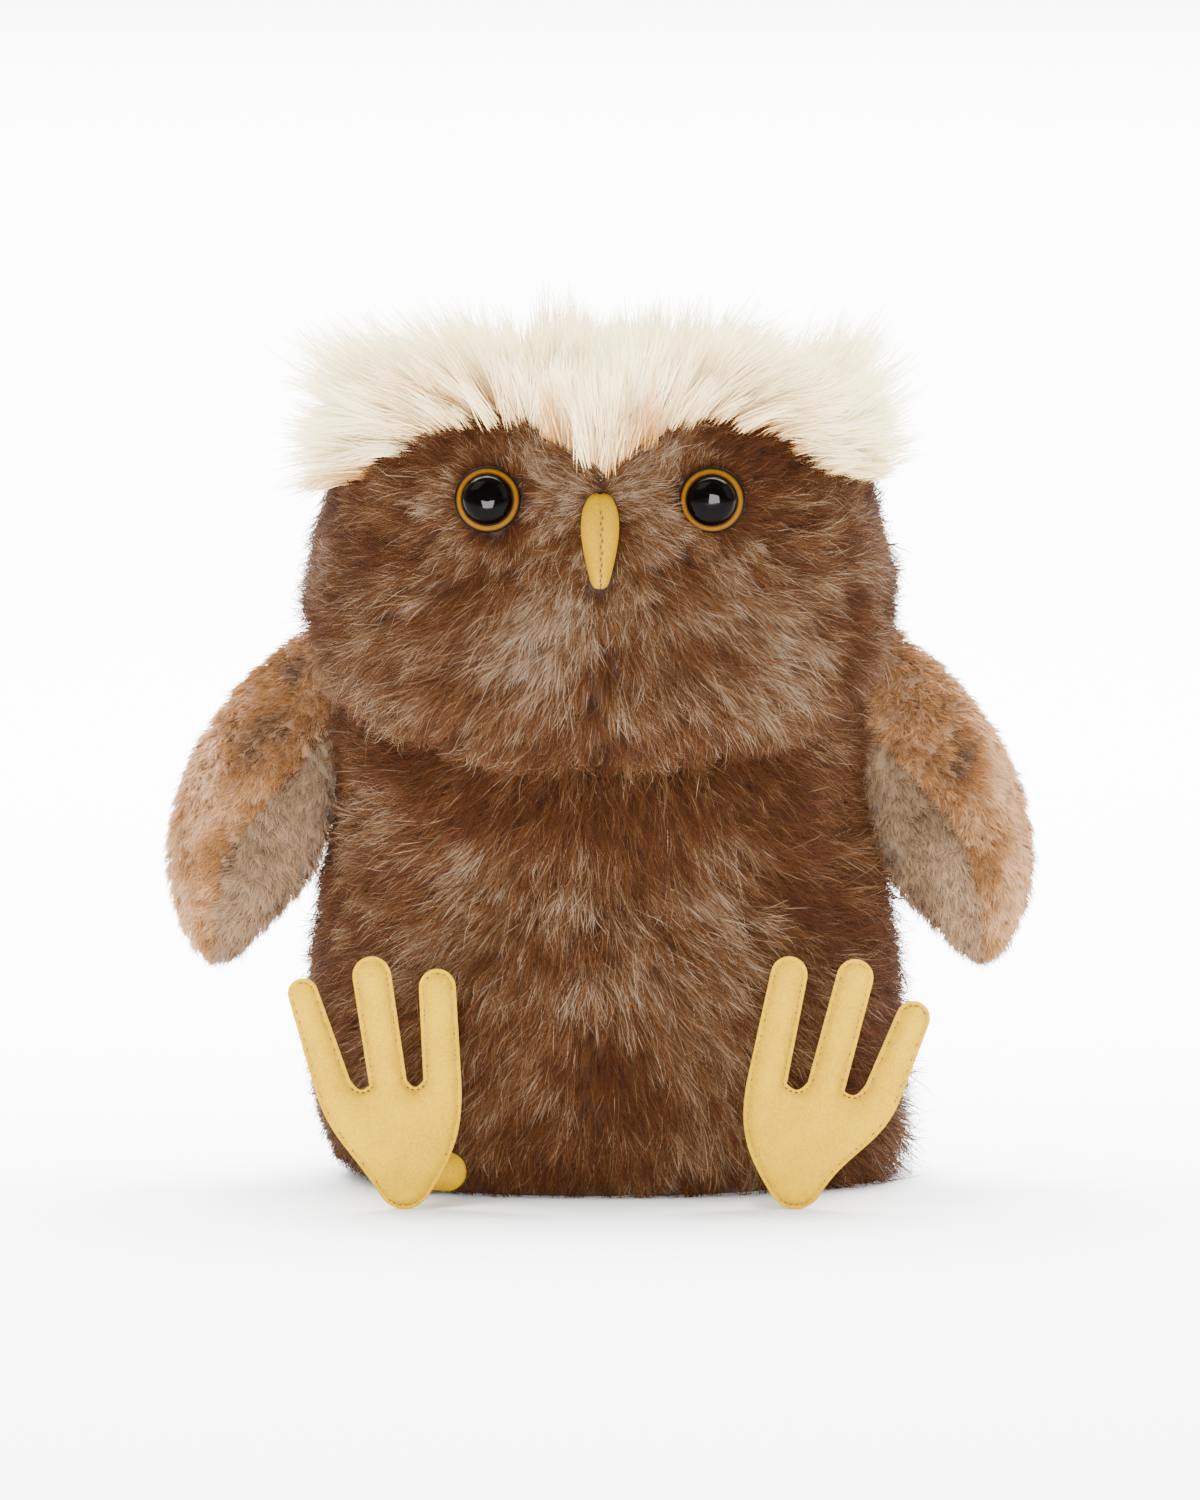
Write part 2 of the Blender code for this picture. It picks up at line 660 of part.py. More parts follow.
def build_eye(name, side, turn, face, stuffing):
    """One safety eye, seated in the face and locked behind the fabric."""
    yaw, pitch = EYE_TURNS[name]
    level = math.cos(pitch)
    aim = Vector((math.sin(yaw) * level, -math.cos(yaw) * level, -math.sin(pitch)))
    surface, normal = (Vector(v) for v in face_at(side * EYE_FROM_MIDDLE, HEAD_TOP - EYE_DROP))
    seat = surface - aim * EYE_SEAT_DEPTH
    slope = aim.angle(normal)

    hole, collar, edge = EYE_SHANK_RADIUS + GAP, EYE_COLLAR_RADIUS, EYE_COLLAR_EDGE
    top = EYE_COLLAR_THICKNESS
    ring = [(hole, 0.0), (collar - edge, 0.0), (collar, edge), (collar - edge, top), (hole, top)]
    vertices, faces = turned(ring, EYE_FACETS)
    piece("eye_%s_collar" % name, placed(vertices, seat, aim), faces, "amber_plastic", turn)

    base = top + GAP
    shank = EYE_SHANK_RADIUS
    dome = [(0.0, -EYE_SHANK_LENGTH), (shank, -EYE_SHANK_LENGTH), (shank, base)]
    for i in range(EYE_DOME_ROWS):
        bow = QUARTER * i / EYE_DOME_ROWS
        dome.append((EYE_DOME_RADIUS * math.cos(bow), base + EYE_DOME_RISE * math.sin(bow)))
    dome.append((0.0, base + EYE_DOME_RISE))
    vertices, faces = turned(dome, EYE_FACETS, close=False)
    piece("eye_%s_dome" % name, placed(vertices, seat, aim), faces, "black_plastic", turn)

    fabric_back = BODY_FABRIC / math.cos(slope) + EYE_WASHER_RADIUS * math.tan(slope)
    front = EYE_SEAT_DEPTH - fabric_back - STUFFING_EASE
    back = front - EYE_WASHER_THICKNESS
    washer = [(hole, back), (EYE_WASHER_RADIUS, back), (EYE_WASHER_RADIUS, front), (hole, front)]
    vertices, faces = turned(washer, EYE_FACETS)
    piece("eye_%s_washer" % name, placed(vertices, seat, aim), faces, "white_plastic", turn)

    shank_end = -EYE_SHANK_LENGTH - GAP
    wide = collar + GAP
    seat_cut = [(0.0, shank_end), (hole, shank_end), (hole, -GAP), (wide, -GAP), (wide, OVERRUN),
                (0.0, OVERRUN)]
    vertices, faces = turned(seat_cut, EYE_FACETS, close=False)
    form = placed(vertices, seat, aim), faces, "stuffing"
    cut(face, as_cutter(piece("eye_%s_seat" % name, *form)))
    wide = EYE_WASHER_RADIUS + GAP
    pocket_cut = [(0.0, shank_end), (hole, shank_end), (hole, back - GAP), (wide, back - GAP),
                  (wide, OVERRUN), (0.0, OVERRUN)]
    vertices, faces = turned(pocket_cut, EYE_FACETS, close=False)
    form = placed(vertices, seat, aim), faces, "stuffing"
    cut(stuffing, as_cutter(piece("eye_%s_pocket" % name, *form)))


# The beak: two suede panels sewn down the middle, over a little stuffing


def beak_rows(inset):
    """Per row of the beak: its half width, its reach from the face, its place."""
    rows = []
    for t in np.linspace(0.0, 1.0, BEAK_ROWS + 1):
        down, wide, reach = smooth_table(BEAK_SHARES, [t])[0]
        height = HEAD_TOP - BEAK_DROP - BEAK_LENGTH * down
        ends = inset * (1.0 - 2.0 * down)
        half = max(wide * BEAK_WIDTH / 2 - inset, BEAK_WIDTH * BEAK_LEAST_SHARE)
        out = max(reach * BEAK_REACH - inset, -inset)
        rows.append((half, out, height - ends, face_at(0.0, height)[0][1]))
    return rows


def beak_grid(side, inset):
    """The points of one half of the beak, from its middle seam round to its root."""
    grid = []
    for column in range(BEAK_COLUMNS + 2):
        bow = QUARTER * min(column, BEAK_COLUMNS) / BEAK_COLUMNS
        root = BEAK_ROOT if column > BEAK_COLUMNS else 0.0
        grid.append([
            (side * max(half * math.sin(bow), GAP / 2), face - out * math.cos(bow) + root, height)
            for half, out, height, face in beak_rows(inset)
        ])
    return np.array(grid)


def build_beak(turn):
    """The beak's panels and stuffing, trimmed to the face they are sewn to."""
    form = closed_rings(head_rings(-SEAT_EASE, HEAD_SHARES[-1][0]))
    face_form = as_cutter(piece("face_form", *form, "stuffing"))
    for name, side in (("left", -1), ("right", 1)):
        shell = grid_shell(beak_grid(side, 0.0), beak_grid(side, SUEDE))
        cut(piece("beak_" + name, *shell, "yellow_suede", turn), face_form)
    left, right = (beak_grid(side, SUEDE + GAP) for side in (-1, 1))
    rings = np.concatenate([left[::-1], right[1:]])
    core = closed_rings(rings.transpose(1, 0, 2))
    cut(piece("beak_stuffing", *core, "stuffing", turn), face_form)


# The wings: an outer panel and a lining, sewn round the edge, over stuffing


def wing_ways():
    """Shares of the way down a wing, crowding towards both its ends."""
    even = np.linspace(0.0, 1.0, WING_ROWS + 1)
    return ease(even) * WING_CROWDING_SHARE + even * (1.0 - WING_CROWDING_SHARE)


def wing_frames(side):
    """Per row of the wing: its centre, its chord's direction, its normal, its two shares."""
    angle = WING_ROOT_ANGLE if side > 0 else 2 * QUARTER - WING_ROOT_ANGLE
    share = np.array(WING_ROOT_SHARE)
    seam = torso_point(np.array(angle), share)
    root = seam + outward(torso_point, np.array(angle), share) * WING_ROOT_STANDOFF
    middle = np.array([side * WING_MIDDLE_OUT, WING_MIDDLE_BACK, WING_MIDDLE_HEIGHT])
    tip = np.array([side * WING_TIP_OUT, -WING_TIP_FORWARD, WING_TIP_HEIGHT])
    bend = 2.0 * middle - (root + tip) / 2
    facing = np.array([side * math.cos(WING_FACING), -math.sin(WING_FACING), 0.0])
    frames = []
    for t in wing_ways():
        centre = (1 - t) ** 2 * root + 2 * t * (1 - t) * bend + t**2 * tip
        along = 2 * (1 - t) * (bend - root) + 2 * t * (tip - bend)
        along /= np.linalg.norm(along)
        normal = facing - along * facing.dot(along)
        normal /= np.linalg.norm(normal)
        chord, thickness = smooth_table(WING_SHARES, [t])[0]
        frames.append((centre, np.cross(along, normal), normal, chord, thickness))
    return frames


def wing_section(side, inset):
    """Per row of the wing: its half chord, its half thickness and where each panel's arc is."""
    rows = []
    for share, frame in zip(wing_ways(), wing_frames(side)):
        half_chord = max(frame[3] * WING_CHORD / 2 - inset, WING_LEAST)
        half_thick = max(frame[4] * WING_THICKNESS / 2 - inset, WING_LEAST)
        way = (share - WING_SEAM_START_SHARE) / WING_SEAM_LENGTH_SHARE
        turn = WING_SEAM_TURN * float(ease(way))
        start, end = (turn, 2 * QUARTER) if side > 0 else (0.0, 2 * QUARTER - turn)
        arcs = {"outer": (start, end), "lining": (end, start + 4 * QUARTER)}
        rows.append((half_chord, half_thick, arcs))
    return rows


def wing_layer(side, inset, part, gap):
    """Points of one layer of a wing's panel, kept some way back from its seams."""
    rows = []
    for frame, (half_chord, half_thick, arcs) in zip(wing_frames(side), wing_section(side, inset)):
        centre, across, normal = frame[:3]
        start, end = arcs[part]
        back = [gap / math.hypot(half_chord * math.sin(seam), half_thick * math.cos(seam))
                for seam in (start, end)]
        angle = np.linspace(start + back[0], end - back[1], WING_FACETS[part] + 1)[:, None]
        rows.append(centre + across * half_chord * np.cos(angle)
                    + normal * half_thick * np.sin(angle))
    return np.array(rows).transpose(1, 0, 2)


def wing_rings(side, inset):
    """A closed ring of points for each row of a wing, some way in from its outside."""
    outer, lining = (wing_layer(side, inset, part, 0.0)[:-1] for part in ("outer", "lining"))
    return np.concatenate([outer, lining]).transpose(1, 0, 2)


def build_wing(name, side, hinge, torso_form):
    """One wing, hanging from its seam under the head."""
    for part, colour in (("outer", "tan_fur"), ("lining", "greige_fur")):
        layers = [wing_layer(side, inset, part, GAP / 2) for inset in (0.0, WING_FABRIC)]
        shell = piece("wing_%s_%s" % (name, part), *grid_shell(*layers), colour, hinge)
        cut(shell, torso_form)
    rings = closed_rings(wing_rings(side, WING_FABRIC + GAP))
    core = piece("wing_%s_stuffing" % name, *rings, "stuffing", hinge)
    cut(core, torso_form)


def build_wings():
    """Both wings, each on its own hinge at the shoulder."""
    form = closed_rings(torso_rings(-SEAT_EASE))
    torso_form = as_cutter(piece("torso_form", *form, "stuffing"))
    for name, side in (("left", -1), ("right", 1)):
        root = wing_frames(side)[0][0]
        build_wing(name, side, empty("wing_%s_hinge" % name, tuple(root)), torso_form)


# The feet: a front and a back panel of suede, sewn near the edge, over stuffing


def foot_outline(name, inset):
    """The outline of a foot, seen from the front, some way in from its edge."""
    size = FOOT_HEIGHT
    tips = [Vector(p) * size for p in TOE_TIP_SHARES[name]]
    roots = [Vector(p) * size for p in TOE_ROOT_SHARES[name]]
    points, sides = [], []
    widths = zip(TOE_HALF_WIDTHS[name], TOE_ROOT_HALF_WIDTHS[name])
    for tip, root, (tip_half, root_half) in zip(tips, roots, widths):
        along = (tip - root).normalized()
        across = Vector((along.y, -along.x))
        end = tip - along * tip_half
        sides.append((root - across * (root_half - inset), root + across * (root_half - inset)))
        arc = []
        for i in range(TOE_ARC_POINTS):
            turn = 2 * QUARTER * i / (TOE_ARC_POINTS - 1)
            radius = tip_half - inset
            arc.append(end - across * radius * math.cos(turn) + along * radius * math.sin(turn))
        points.append(arc)
    outline = []
    for i, arc in enumerate(points):
        outline += [sides[i][0]] + arc + [sides[i][1]]
        if i + 1 < len(points):
            start, stop = sides[i][1], sides[i + 1][0]
            for k in range(1, CROTCH_ARC_POINTS + 1):
                share = k / (CROTCH_ARC_POINTS + 1)
                sag = Vector((0.0, -CROTCH_DEPTH * math.sin(2 * QUARTER * share) - inset / 2))
                outline.append(start.lerp(stop, share) + sag)
    heel = Vector((0.0, HEEL_RADIUS))
    radius = HEEL_RADIUS - inset
    heel_arc = []
    for i in range(HEEL_ARC_POINTS):
        turn = HEEL_HALF_ARC * (1.0 - 2.0 * i / (HEEL_ARC_POINTS - 1))
        heel_arc.append(heel + Vector((math.sin(turn), -math.cos(turn))) * radius)
    right = side_curve(sides[-1][1], roots[-1] - tips[-1], heel_arc[0], heel_arc[0] - heel_arc[1])
    left = side_curve(sides[0][0], roots[0] - tips[0], heel_arc[-1], heel_arc[-1] - heel_arc[-2])
    return outline + right + heel_arc + left[::-1]


def side_curve(start, start_run, end, end_run):
    """Points along the palm's side, between a toe's root and the heel's arc."""
    reach = (end - start).length * SIDE_BOW_SHARE
    first = start + start_run.normalized() * reach
    second = end + end_run.normalized() * reach
    points = []
    for i in range(1, SIDE_POINTS + 1):
        t = i / (SIDE_POINTS + 1)
        points.append((1 - t) ** 3 * start + 3 * t * (1 - t) ** 2 * first
                      + 3 * t**2 * (1 - t) * second + t**3 * end)
    return points


def edge_distance(point, outline):
    """How far a point lies from an outline."""
    best = math.inf
    for a, b in zip(outline, outline[1:] + outline[:1]):
        run = b - a
        share = min(max((point - a).dot(run) / run.length_squared, 0.0), 1.0)
        best = min(best, (point - a - run * share).length)
    return best


def foot_sheet(name):
    """Points and triangles that fill a foot's outline, and each point's way from the edge.

    The first points are the outline's, the next as many those of a ring inside it."""
    outline = foot_outline(name, 0.0)
    ring = foot_outline(name, FOOT_RING_INSET)
    size = FOOT_HEIGHT
    inner = []
    toes = zip(TOE_TIP_SHARES[name], TOE_ROOT_SHARES[name], TOE_HALF_WIDTHS[name])
    for tip, root, half in toes:
        tip, root = Vector(tip) * size, Vector(root) * size
        end = tip - (tip - root).normalized() * half
        inner += [end.lerp(root, share) for share in (0.0, 0.5, 1.0)]
    inner += [Vector(p) * size for p in PALM_MIDDLE_SHARES[name]]
    inner.append(Vector((0.0, HEEL_RADIUS)))
    count = len(outline)
    border = loop_edges(0, count)
    points, _, faces, *_ = delaunay_2d_cdt(
        outline + ring + inner, border + loop_edges(count, count), [list(range(count))], 1,
        SHEET_MERGE)
    depth = [0.0 if i < count else edge_distance(p, outline) for i, p in enumerate(points)]
    return points, [tuple(f) for f in faces], depth, border


def loop_edges(first, count):
    """The edges of a closed loop of points."""
    return [(first + i, first + (i + 1) % count) for i in range(count)]


def inside_ring(sheet):
    """The part of a foot's sheet inside its ring, which the stuffing fills."""
    points, faces, depth, border = sheet
    count = len(border)
    kept = [tuple(i - count for i in f) for f in faces if min(f) >= count]
    return points[count:], kept, depth[count:], loop_edges(0, count)


def swell(depth, height):
    """How far a stuffed sheet stands out, some way in from its edge."""
    share = min(depth / FOOT_SWELL_WIDTH, 1.0)
    return height * math.sqrt(1.0 - (1.0 - share) ** 2)


def foot_solid(side, sheet, near, far):
    """A solid over a foot's sheet, between two depths given per point."""
    points, faces, depth, border = sheet
    layers = []
    for height in (near, far):
        for point, way in zip(points, depth):
            x = side * FOOT_FROM_MIDDLE + point.x
            layers.append((x, FOOT_MIDDLE + height(way), point.y))
    count = len(points)
    all_faces = list(faces) + [tuple(count + i for i in reversed(face)) for face in faces]
    all_faces += [(a, b, count + b, count + a) for a, b in border]
    return layers, all_faces


def build_foot(name, side, ankle):
    """One foot, upright on its heel."""
    sheet = foot_sheet(name)

    def front_inside(depth):
        return -GAP / 2 - swell(depth, FOOT_SWELL)

    def front_outside(depth):
        return front_inside(depth) - SUEDE

    def back_inside(depth):
        return -front_inside(depth)

    def back_outside(depth):
        return -front_outside(depth)

    def core(depth):
        return swell(depth, FOOT_SWELL) - GAP

    for part, near, far in (("front", front_outside, front_inside),
                            ("back", back_inside, back_outside)):
        solid = foot_solid(side, sheet, near, far)
        piece("foot_%s_%s" % (name, part), *solid, "yellow_suede", ankle)
    solid = foot_solid(side, inside_ring(sheet), lambda depth: -core(depth), core)
    piece("foot_%s_stuffing" % name, *solid, "stuffing", ankle)


# The legs: a short tube of suede with round ends, over stuffing


def leg_ends(name, side):
    """The centres of a leg's round ends, against the torso and against the foot."""
    share = np.array(LEG_HEIGHT / NECK_HEIGHT)
    low, high = FRONT, FRONT + QUARTER
    for _ in range(SEARCH_STEPS):
        angle = (low + high) / 2
        near = torso_point(np.array(angle), share)[0] < LEG_ROOT_FROM_MIDDLE[name]
        low, high = (angle, high) if near else (low, angle)
    at = np.array(low)
    root = torso_point(at, share) + outward(torso_point, at, share) * (LEG_RADIUS + SEAT_EASE)
    foot_back = FOOT_MIDDLE + GAP / 2 + FOOT_SWELL + SUEDE
    end = np.array([LEG_END_FROM_MIDDLE[name], foot_back + GAP + LEG_RADIUS, LEG_HEIGHT])
    mirror = np.array([side, 1.0, 1.0])
    return Vector(root * mirror), Vector(end * mirror)


def leg_profile(length, radius, mouth):
    """The half section of a leg, from its mouth at the torso to its end at the foot."""
    start = math.asin(mouth / radius) if mouth else 0.0
    points = []
    for i in range(LEG_CAP_FACETS + 1):
        turn = start + (QUARTER - start) * i / LEG_CAP_FACETS
        points.append((radius * math.sin(turn), -radius * math.cos(turn)))
    for i in range(LEG_CAP_FACETS + 1):
        turn = QUARTER * i / LEG_CAP_FACETS
        points.append((radius * math.cos(turn), length + radius * math.sin(turn)))
    points[-1] = (0.0, length + radius)
    return points


def build_leg(name, side, hip):
    """One leg, from under the belly to the back of the foot."""
    root, end = leg_ends(name, side)
    run = end - root
    outer = leg_profile(run.length, LEG_RADIUS, LEG_MOUTH_RADIUS)
    inner = leg_profile(run.length, LEG_RADIUS - SUEDE, LEG_MOUTH_RADIUS)
    vertices, faces = turned_cup(outer, inner, LEG_FACETS)
    piece("leg_%s_cover" % name, placed(vertices, root, run), faces, "yellow_suede", hip)
    core = leg_profile(run.length, LEG_RADIUS - SUEDE - GAP, 0.0)
    vertices, faces = turned(core, LEG_FACETS, close=False)
    piece("leg_%s_stuffing" % name, placed(vertices, root, run), faces, "stuffing", hip)


def turned_cup(outer, inner, facets):
    """A turned shell whose two profiles share an open mouth and end on the axis."""
    vertices, faces = [], []
    rings = outer[:-1] + inner[:-1][::-1]
    for radius, height in rings:
        for i in range(facets):
            angle = 2 * math.pi * i / facets
            vertices.append((radius * math.cos(angle), radius * math.sin(angle), height))
    top = len(outer) - 1
    count = len(rings)
    for j in range(count):
        if j == top - 1:
            continue
        for i in range(facets):
            k, n = (i + 1) % facets, (j + 1) % count
            faces.append((j * facets + i, j * facets + k, n * facets + k, n * facets + i))
    for height, ring in ((outer[-1][1], top - 1), (inner[-1][1], top)):
        vertices.append((0.0, 0.0, height))
        for i in range(facets):
            k = (i + 1) % facets
            faces.append((len(vertices) - 1, ring * facets + i, ring * facets + k))
    return vertices, faces


def main():
    """Build the owl."""
    clear_scene()
    build_torso()
    neck_turn = empty("neck_turn", (0.0, 0.0, NECK_HEIGHT))
    build_head(neck_turn)
    build_beak(neck_turn)
    build_wings()
    for name, side in (("left", -1), ("right", 1)):
        face, stuffing = bpy.data.objects["face_" + name], bpy.data.objects["head_stuffing"]
        build_eye(name, side, neck_turn, face, stuffing)
        root, end = leg_ends(name, side)
        build_leg(name, side, empty("leg_%s_hip" % name, root))
        build_foot(name, side, empty("foot_%s_ankle" % name, end))


main()
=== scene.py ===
# The plush owl as it looks: skins under a pile of real strands, suede feet and beak,
# and safety eyes. Sizes are those of the part's source, in metres, +Z up, facing -Y.
# Left and right are those of the picture, as seen from in front of the owl.
import math

import bmesh
import bpy
import numpy as np
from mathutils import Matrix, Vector
from mathutils.geometry import delaunay_2d_cdt


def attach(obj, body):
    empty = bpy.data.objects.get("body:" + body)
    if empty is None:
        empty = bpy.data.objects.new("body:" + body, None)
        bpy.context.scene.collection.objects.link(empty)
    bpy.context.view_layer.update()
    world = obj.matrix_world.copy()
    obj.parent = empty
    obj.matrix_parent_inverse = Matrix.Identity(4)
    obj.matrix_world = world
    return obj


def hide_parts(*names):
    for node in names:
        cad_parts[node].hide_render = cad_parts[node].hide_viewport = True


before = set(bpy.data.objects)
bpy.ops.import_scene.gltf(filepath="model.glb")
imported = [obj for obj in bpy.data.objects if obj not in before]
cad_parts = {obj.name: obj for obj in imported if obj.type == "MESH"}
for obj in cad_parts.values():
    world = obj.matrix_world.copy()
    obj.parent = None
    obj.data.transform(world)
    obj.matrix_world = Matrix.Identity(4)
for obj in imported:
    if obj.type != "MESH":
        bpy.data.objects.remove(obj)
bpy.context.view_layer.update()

QUARTER = math.pi / 2
TURN = 4 * QUARTER
FRONT = 3 * QUARTER       # the angle of -Y round the torso and the head
GAP = 0.0003
SEAT_EASE = 0.0005
SIDES = (("left", -1), ("right", 1))

# The torso, as in the part's source: rows of height and width
TORSO_WIDTH, TORSO_DEPTH, NECK_HEIGHT = 0.1324, 0.1160, 0.1226
NECK_TILT = math.radians(24.0)
NECK_TILT_START = 0.25
TORSO_SQUARENESS = 2.25
TORSO_BACK_SHIFT = 0.0010
TORSO_SHARES = (
    (0.00, 0.790), (0.03, 0.905), (0.08, 0.960), (0.18, 0.990), (0.34, 1.000),
    (0.55, 0.955), (0.74, 0.905), (0.92, 0.890), (1.00, 0.845),
)

# The head: rows of height, width and depth in front
HEAD_WIDTH, HEAD_DEPTH, HEAD_TOP = 0.1330, 0.1140, NECK_HEIGHT + 0.0629
HEAD_BACK_SHARE = 0.94
HEAD_SQUARENESS = 2.45
HEAD_FRONT_SHIFT, CROWN_BACK_SHIFT = -0.0020, 0.0040
CROWN_RADIUS = 0.0012
HEAD_SHARES = (
    (0.00, 0.850, 0.880), (0.05, 0.945, 0.975), (0.15, 1.000, 1.025), (0.34, 0.975, 1.020),
    (0.54, 0.935, 0.990), (0.74, 0.880, 0.935), (0.86, 0.790, 0.840), (0.94, 0.620, 0.670),
    (0.985, 0.340, 0.380),
)
HEM_DROP_AT_MIDDLE, HEM_DROP_OVER_EYES, HEM_DROP_AT_SIDES = 0.0224, 0.0107, 0.0262
HEM_ARCH_FROM_MIDDLE = 0.0260

# The eyes, with their turns sideways and down
EYE_FROM_MIDDLE, EYE_HEIGHT = 0.0252, HEAD_TOP - 0.0277
EYE_COLLAR_RADIUS, EYE_COLLAR_THICKNESS = 0.0075, 0.0018
EYE_DOME_RADIUS, EYE_DOME_RISE = 0.0057, 0.0042
EYE_SHANK_RADIUS, EYE_SHANK_LENGTH = 0.0017, 0.0110
EYE_SEAT_DEPTH = 0.0002
EYE_TURNS = {"left": (-1.0, -5.0), "right": (-5.0, 1.0)}

# The beak: rows of way down, drop, width and reach
BEAK_TOP, BEAK_LENGTH = HEAD_TOP - 0.0264, 0.0207
BEAK_WIDTH, BEAK_REACH = 0.0086, 0.0070
BEAK_SHARES = (
    (0.00, -0.006, 0.06, 0.06), (0.04, 0.000, 0.34, 0.24), (0.08, 0.022, 0.52, 0.38),
    (0.20, 0.130, 0.84, 0.68), (0.36, 0.320, 1.00, 0.92), (0.54, 0.560, 0.90, 1.00),
    (0.72, 0.800, 0.66, 0.96), (0.86, 0.950, 0.45, 0.78), (0.94, 0.995, 0.28, 0.50),
    (1.00, 1.005, 0.06, 0.14),
)

# The wings: rows of way down, chord and thickness
WING_CHORD, WING_THICKNESS = 0.0390, 0.0240
WING_FACING = math.radians(45)
WING_ROOT_ANGLE, WING_ROOT_SHARE, WING_ROOT_STANDOFF = math.radians(15), 0.955, 0.0030
WING_MIDDLE, WING_TIP = (0.0785, 0.0010, 0.0900), (0.0875, -0.0030, 0.0490)
WING_SEAM_START, WING_SEAM_LENGTH, WING_SEAM_TURN = 0.20, 0.55, math.radians(62)
WING_SHARES = (
    (0.00, 0.18, 0.24), (0.08, 0.42, 0.44), (0.20, 0.68, 0.68), (0.35, 0.88, 0.88),
    (0.52, 1.00, 1.00), (0.68, 0.98, 0.98), (0.82, 0.80, 0.82), (0.92, 0.54, 0.58),
    (0.98, 0.28, 0.32), (1.00, 0.12, 0.14),
)

# The feet, with places as shares of their height, and the legs
SUEDE = 0.0009
FOOT_FROM_MIDDLE, FOOT_MIDDLE, FOOT_HEIGHT = 0.0438, -0.0690, 0.0567
FOOT_SWELL, FOOT_SWELL_WIDTH = 0.0026, 0.0050
TOE_HALF_WIDTHS = {"left": (0.0034, 0.0043, 0.0041), "right": (0.0041, 0.0041, 0.0038)}
TOE_ROOT_HALF_WIDTHS = {"left": (0.0041, 0.0042, 0.0042), "right": (0.0044, 0.0042, 0.0042)}
TOE_TIPS = {"left": ((-0.418, 0.912), (-0.139, 1.000), (0.127, 0.952)),
            "right": ((-0.012, 1.000), (0.252, 0.988), (0.488, 0.820))}
TOE_ROOTS = {"left": ((-0.283, 0.490), (-0.064, 0.500), (0.150, 0.515)),
             "right": ((-0.112, 0.512), (0.120, 0.485), (0.345, 0.465))}
CROTCH_DEPTH = 0.0016
HEEL_RADIUS, HEEL_HALF_ARC = 0.0062, math.radians(62)
SIDE_BOW_SHARE = 0.42
LEG_RADIUS, LEG_HEIGHT = 0.0044, 0.0078
LEG_ROOT_FROM_MIDDLE = {"left": 0.0325, "right": 0.0405}
LEG_END_FROM_MIDDLE = {"left": 0.0405, "right": 0.0425}


# Numbers


def ease(value):
    """Smooth step from 0 to 1."""
    value = np.clip(value, 0.0, 1.0)
    return value * value * (3.0 - 2.0 * value)


def bell(value):
    """1 at zero, falling smoothly to nothing on both sides."""
    return np.exp(-value**2)


def unit(vectors):
    """Vectors of length one, row by row."""
    length = np.linalg.norm(vectors, axis=-1, keepdims=True)
    return vectors / np.maximum(length, 1e-12)


def swung(one, other, turn):
    """Directions turned from one towards another by angles."""
    return one * np.cos(turn)[:, None] + other * np.sin(turn)[:, None]


def paired(*values):
    """Numbers or grids of numbers as grids of one shape."""
    return np.broadcast_arrays(*(np.asarray(value, float) for value in values))


def halved(low, high, is_low):
    """Where between two ends a test on the place stops being true."""
    for _ in range(40):
        middle = (low + high) / 2
        under = is_low(middle)
        low, high = np.where(under, middle, low), np.where(under, high, middle)
    return low


def smooth_table(shares, at):
    """A table's columns read at some places, on smooth curves through its points."""
    table = np.array(shares, float)
    x, y = table[:, 0], table[:, 1:]
    slope = np.gradient(y, x, axis=0)
    at = np.clip(np.asarray(at, float), x[0], x[-1])
    i = np.clip(np.searchsorted(x, at, side="right") - 1, 0, len(x) - 2)
    step = (x[i + 1] - x[i])[..., None]
    t = ((at - x[i]) / (x[i + 1] - x[i]))[..., None]
    read = ((2 * t**3 - 3 * t**2 + 1) * y[i] + (t**3 - 2 * t**2 + t) * step * slope[i]
            + (3 * t**2 - 2 * t**3) * y[i + 1] + (t**3 - t**2) * step * slope[i + 1])
    return np.moveaxis(read, -1, 0)


def drift(points, size, seed):
    """A smooth random field over points, near -2 to 2, whose patches have a size."""
    rng = np.random.default_rng(seed)
    total = np.zeros(points.shape[:-1])
    count = 16
    for _ in range(count):
        wave = unit(rng.normal(size=3)) * math.pi / size * rng.uniform(0.6, 1.3)
        total += np.sin(points @ wave + rng.uniform(0, TURN))
    return total * math.sqrt(2.0 / count)


# Forms


def rounded(angle, squareness):
    """Cosine and sine of an angle on a unit oval that may be boxier than a circle."""
    cos, sin = np.cos(angle), np.sin(angle)
    power = 2.0 / squareness
    return np.sign(cos) * np.abs(cos) ** power, np.sign(sin) * np.abs(sin) ** power


def torso_tilt(share):
    """How far the torso's level leans back at a share of its height."""
    return NECK_TILT * ease((share - NECK_TILT_START) / (1.0 - NECK_TILT_START))


def torso_point(angle, share):
    """A point on the torso's outside: share 0 is the base, 1 is the neck seam."""
    angle, share = paired(angle, share)
    wide = smooth_table(TORSO_SHARES, share)[0]
    cos, sin = rounded(angle, TORSO_SQUARENESS)
    x = wide * TORSO_WIDTH / 2 * cos
    y = wide * TORSO_DEPTH / 2 * sin + TORSO_BACK_SHIFT
    return np.stack([x, y, share * NECK_HEIGHT + y * np.tan(torso_tilt(share))], axis=-1)


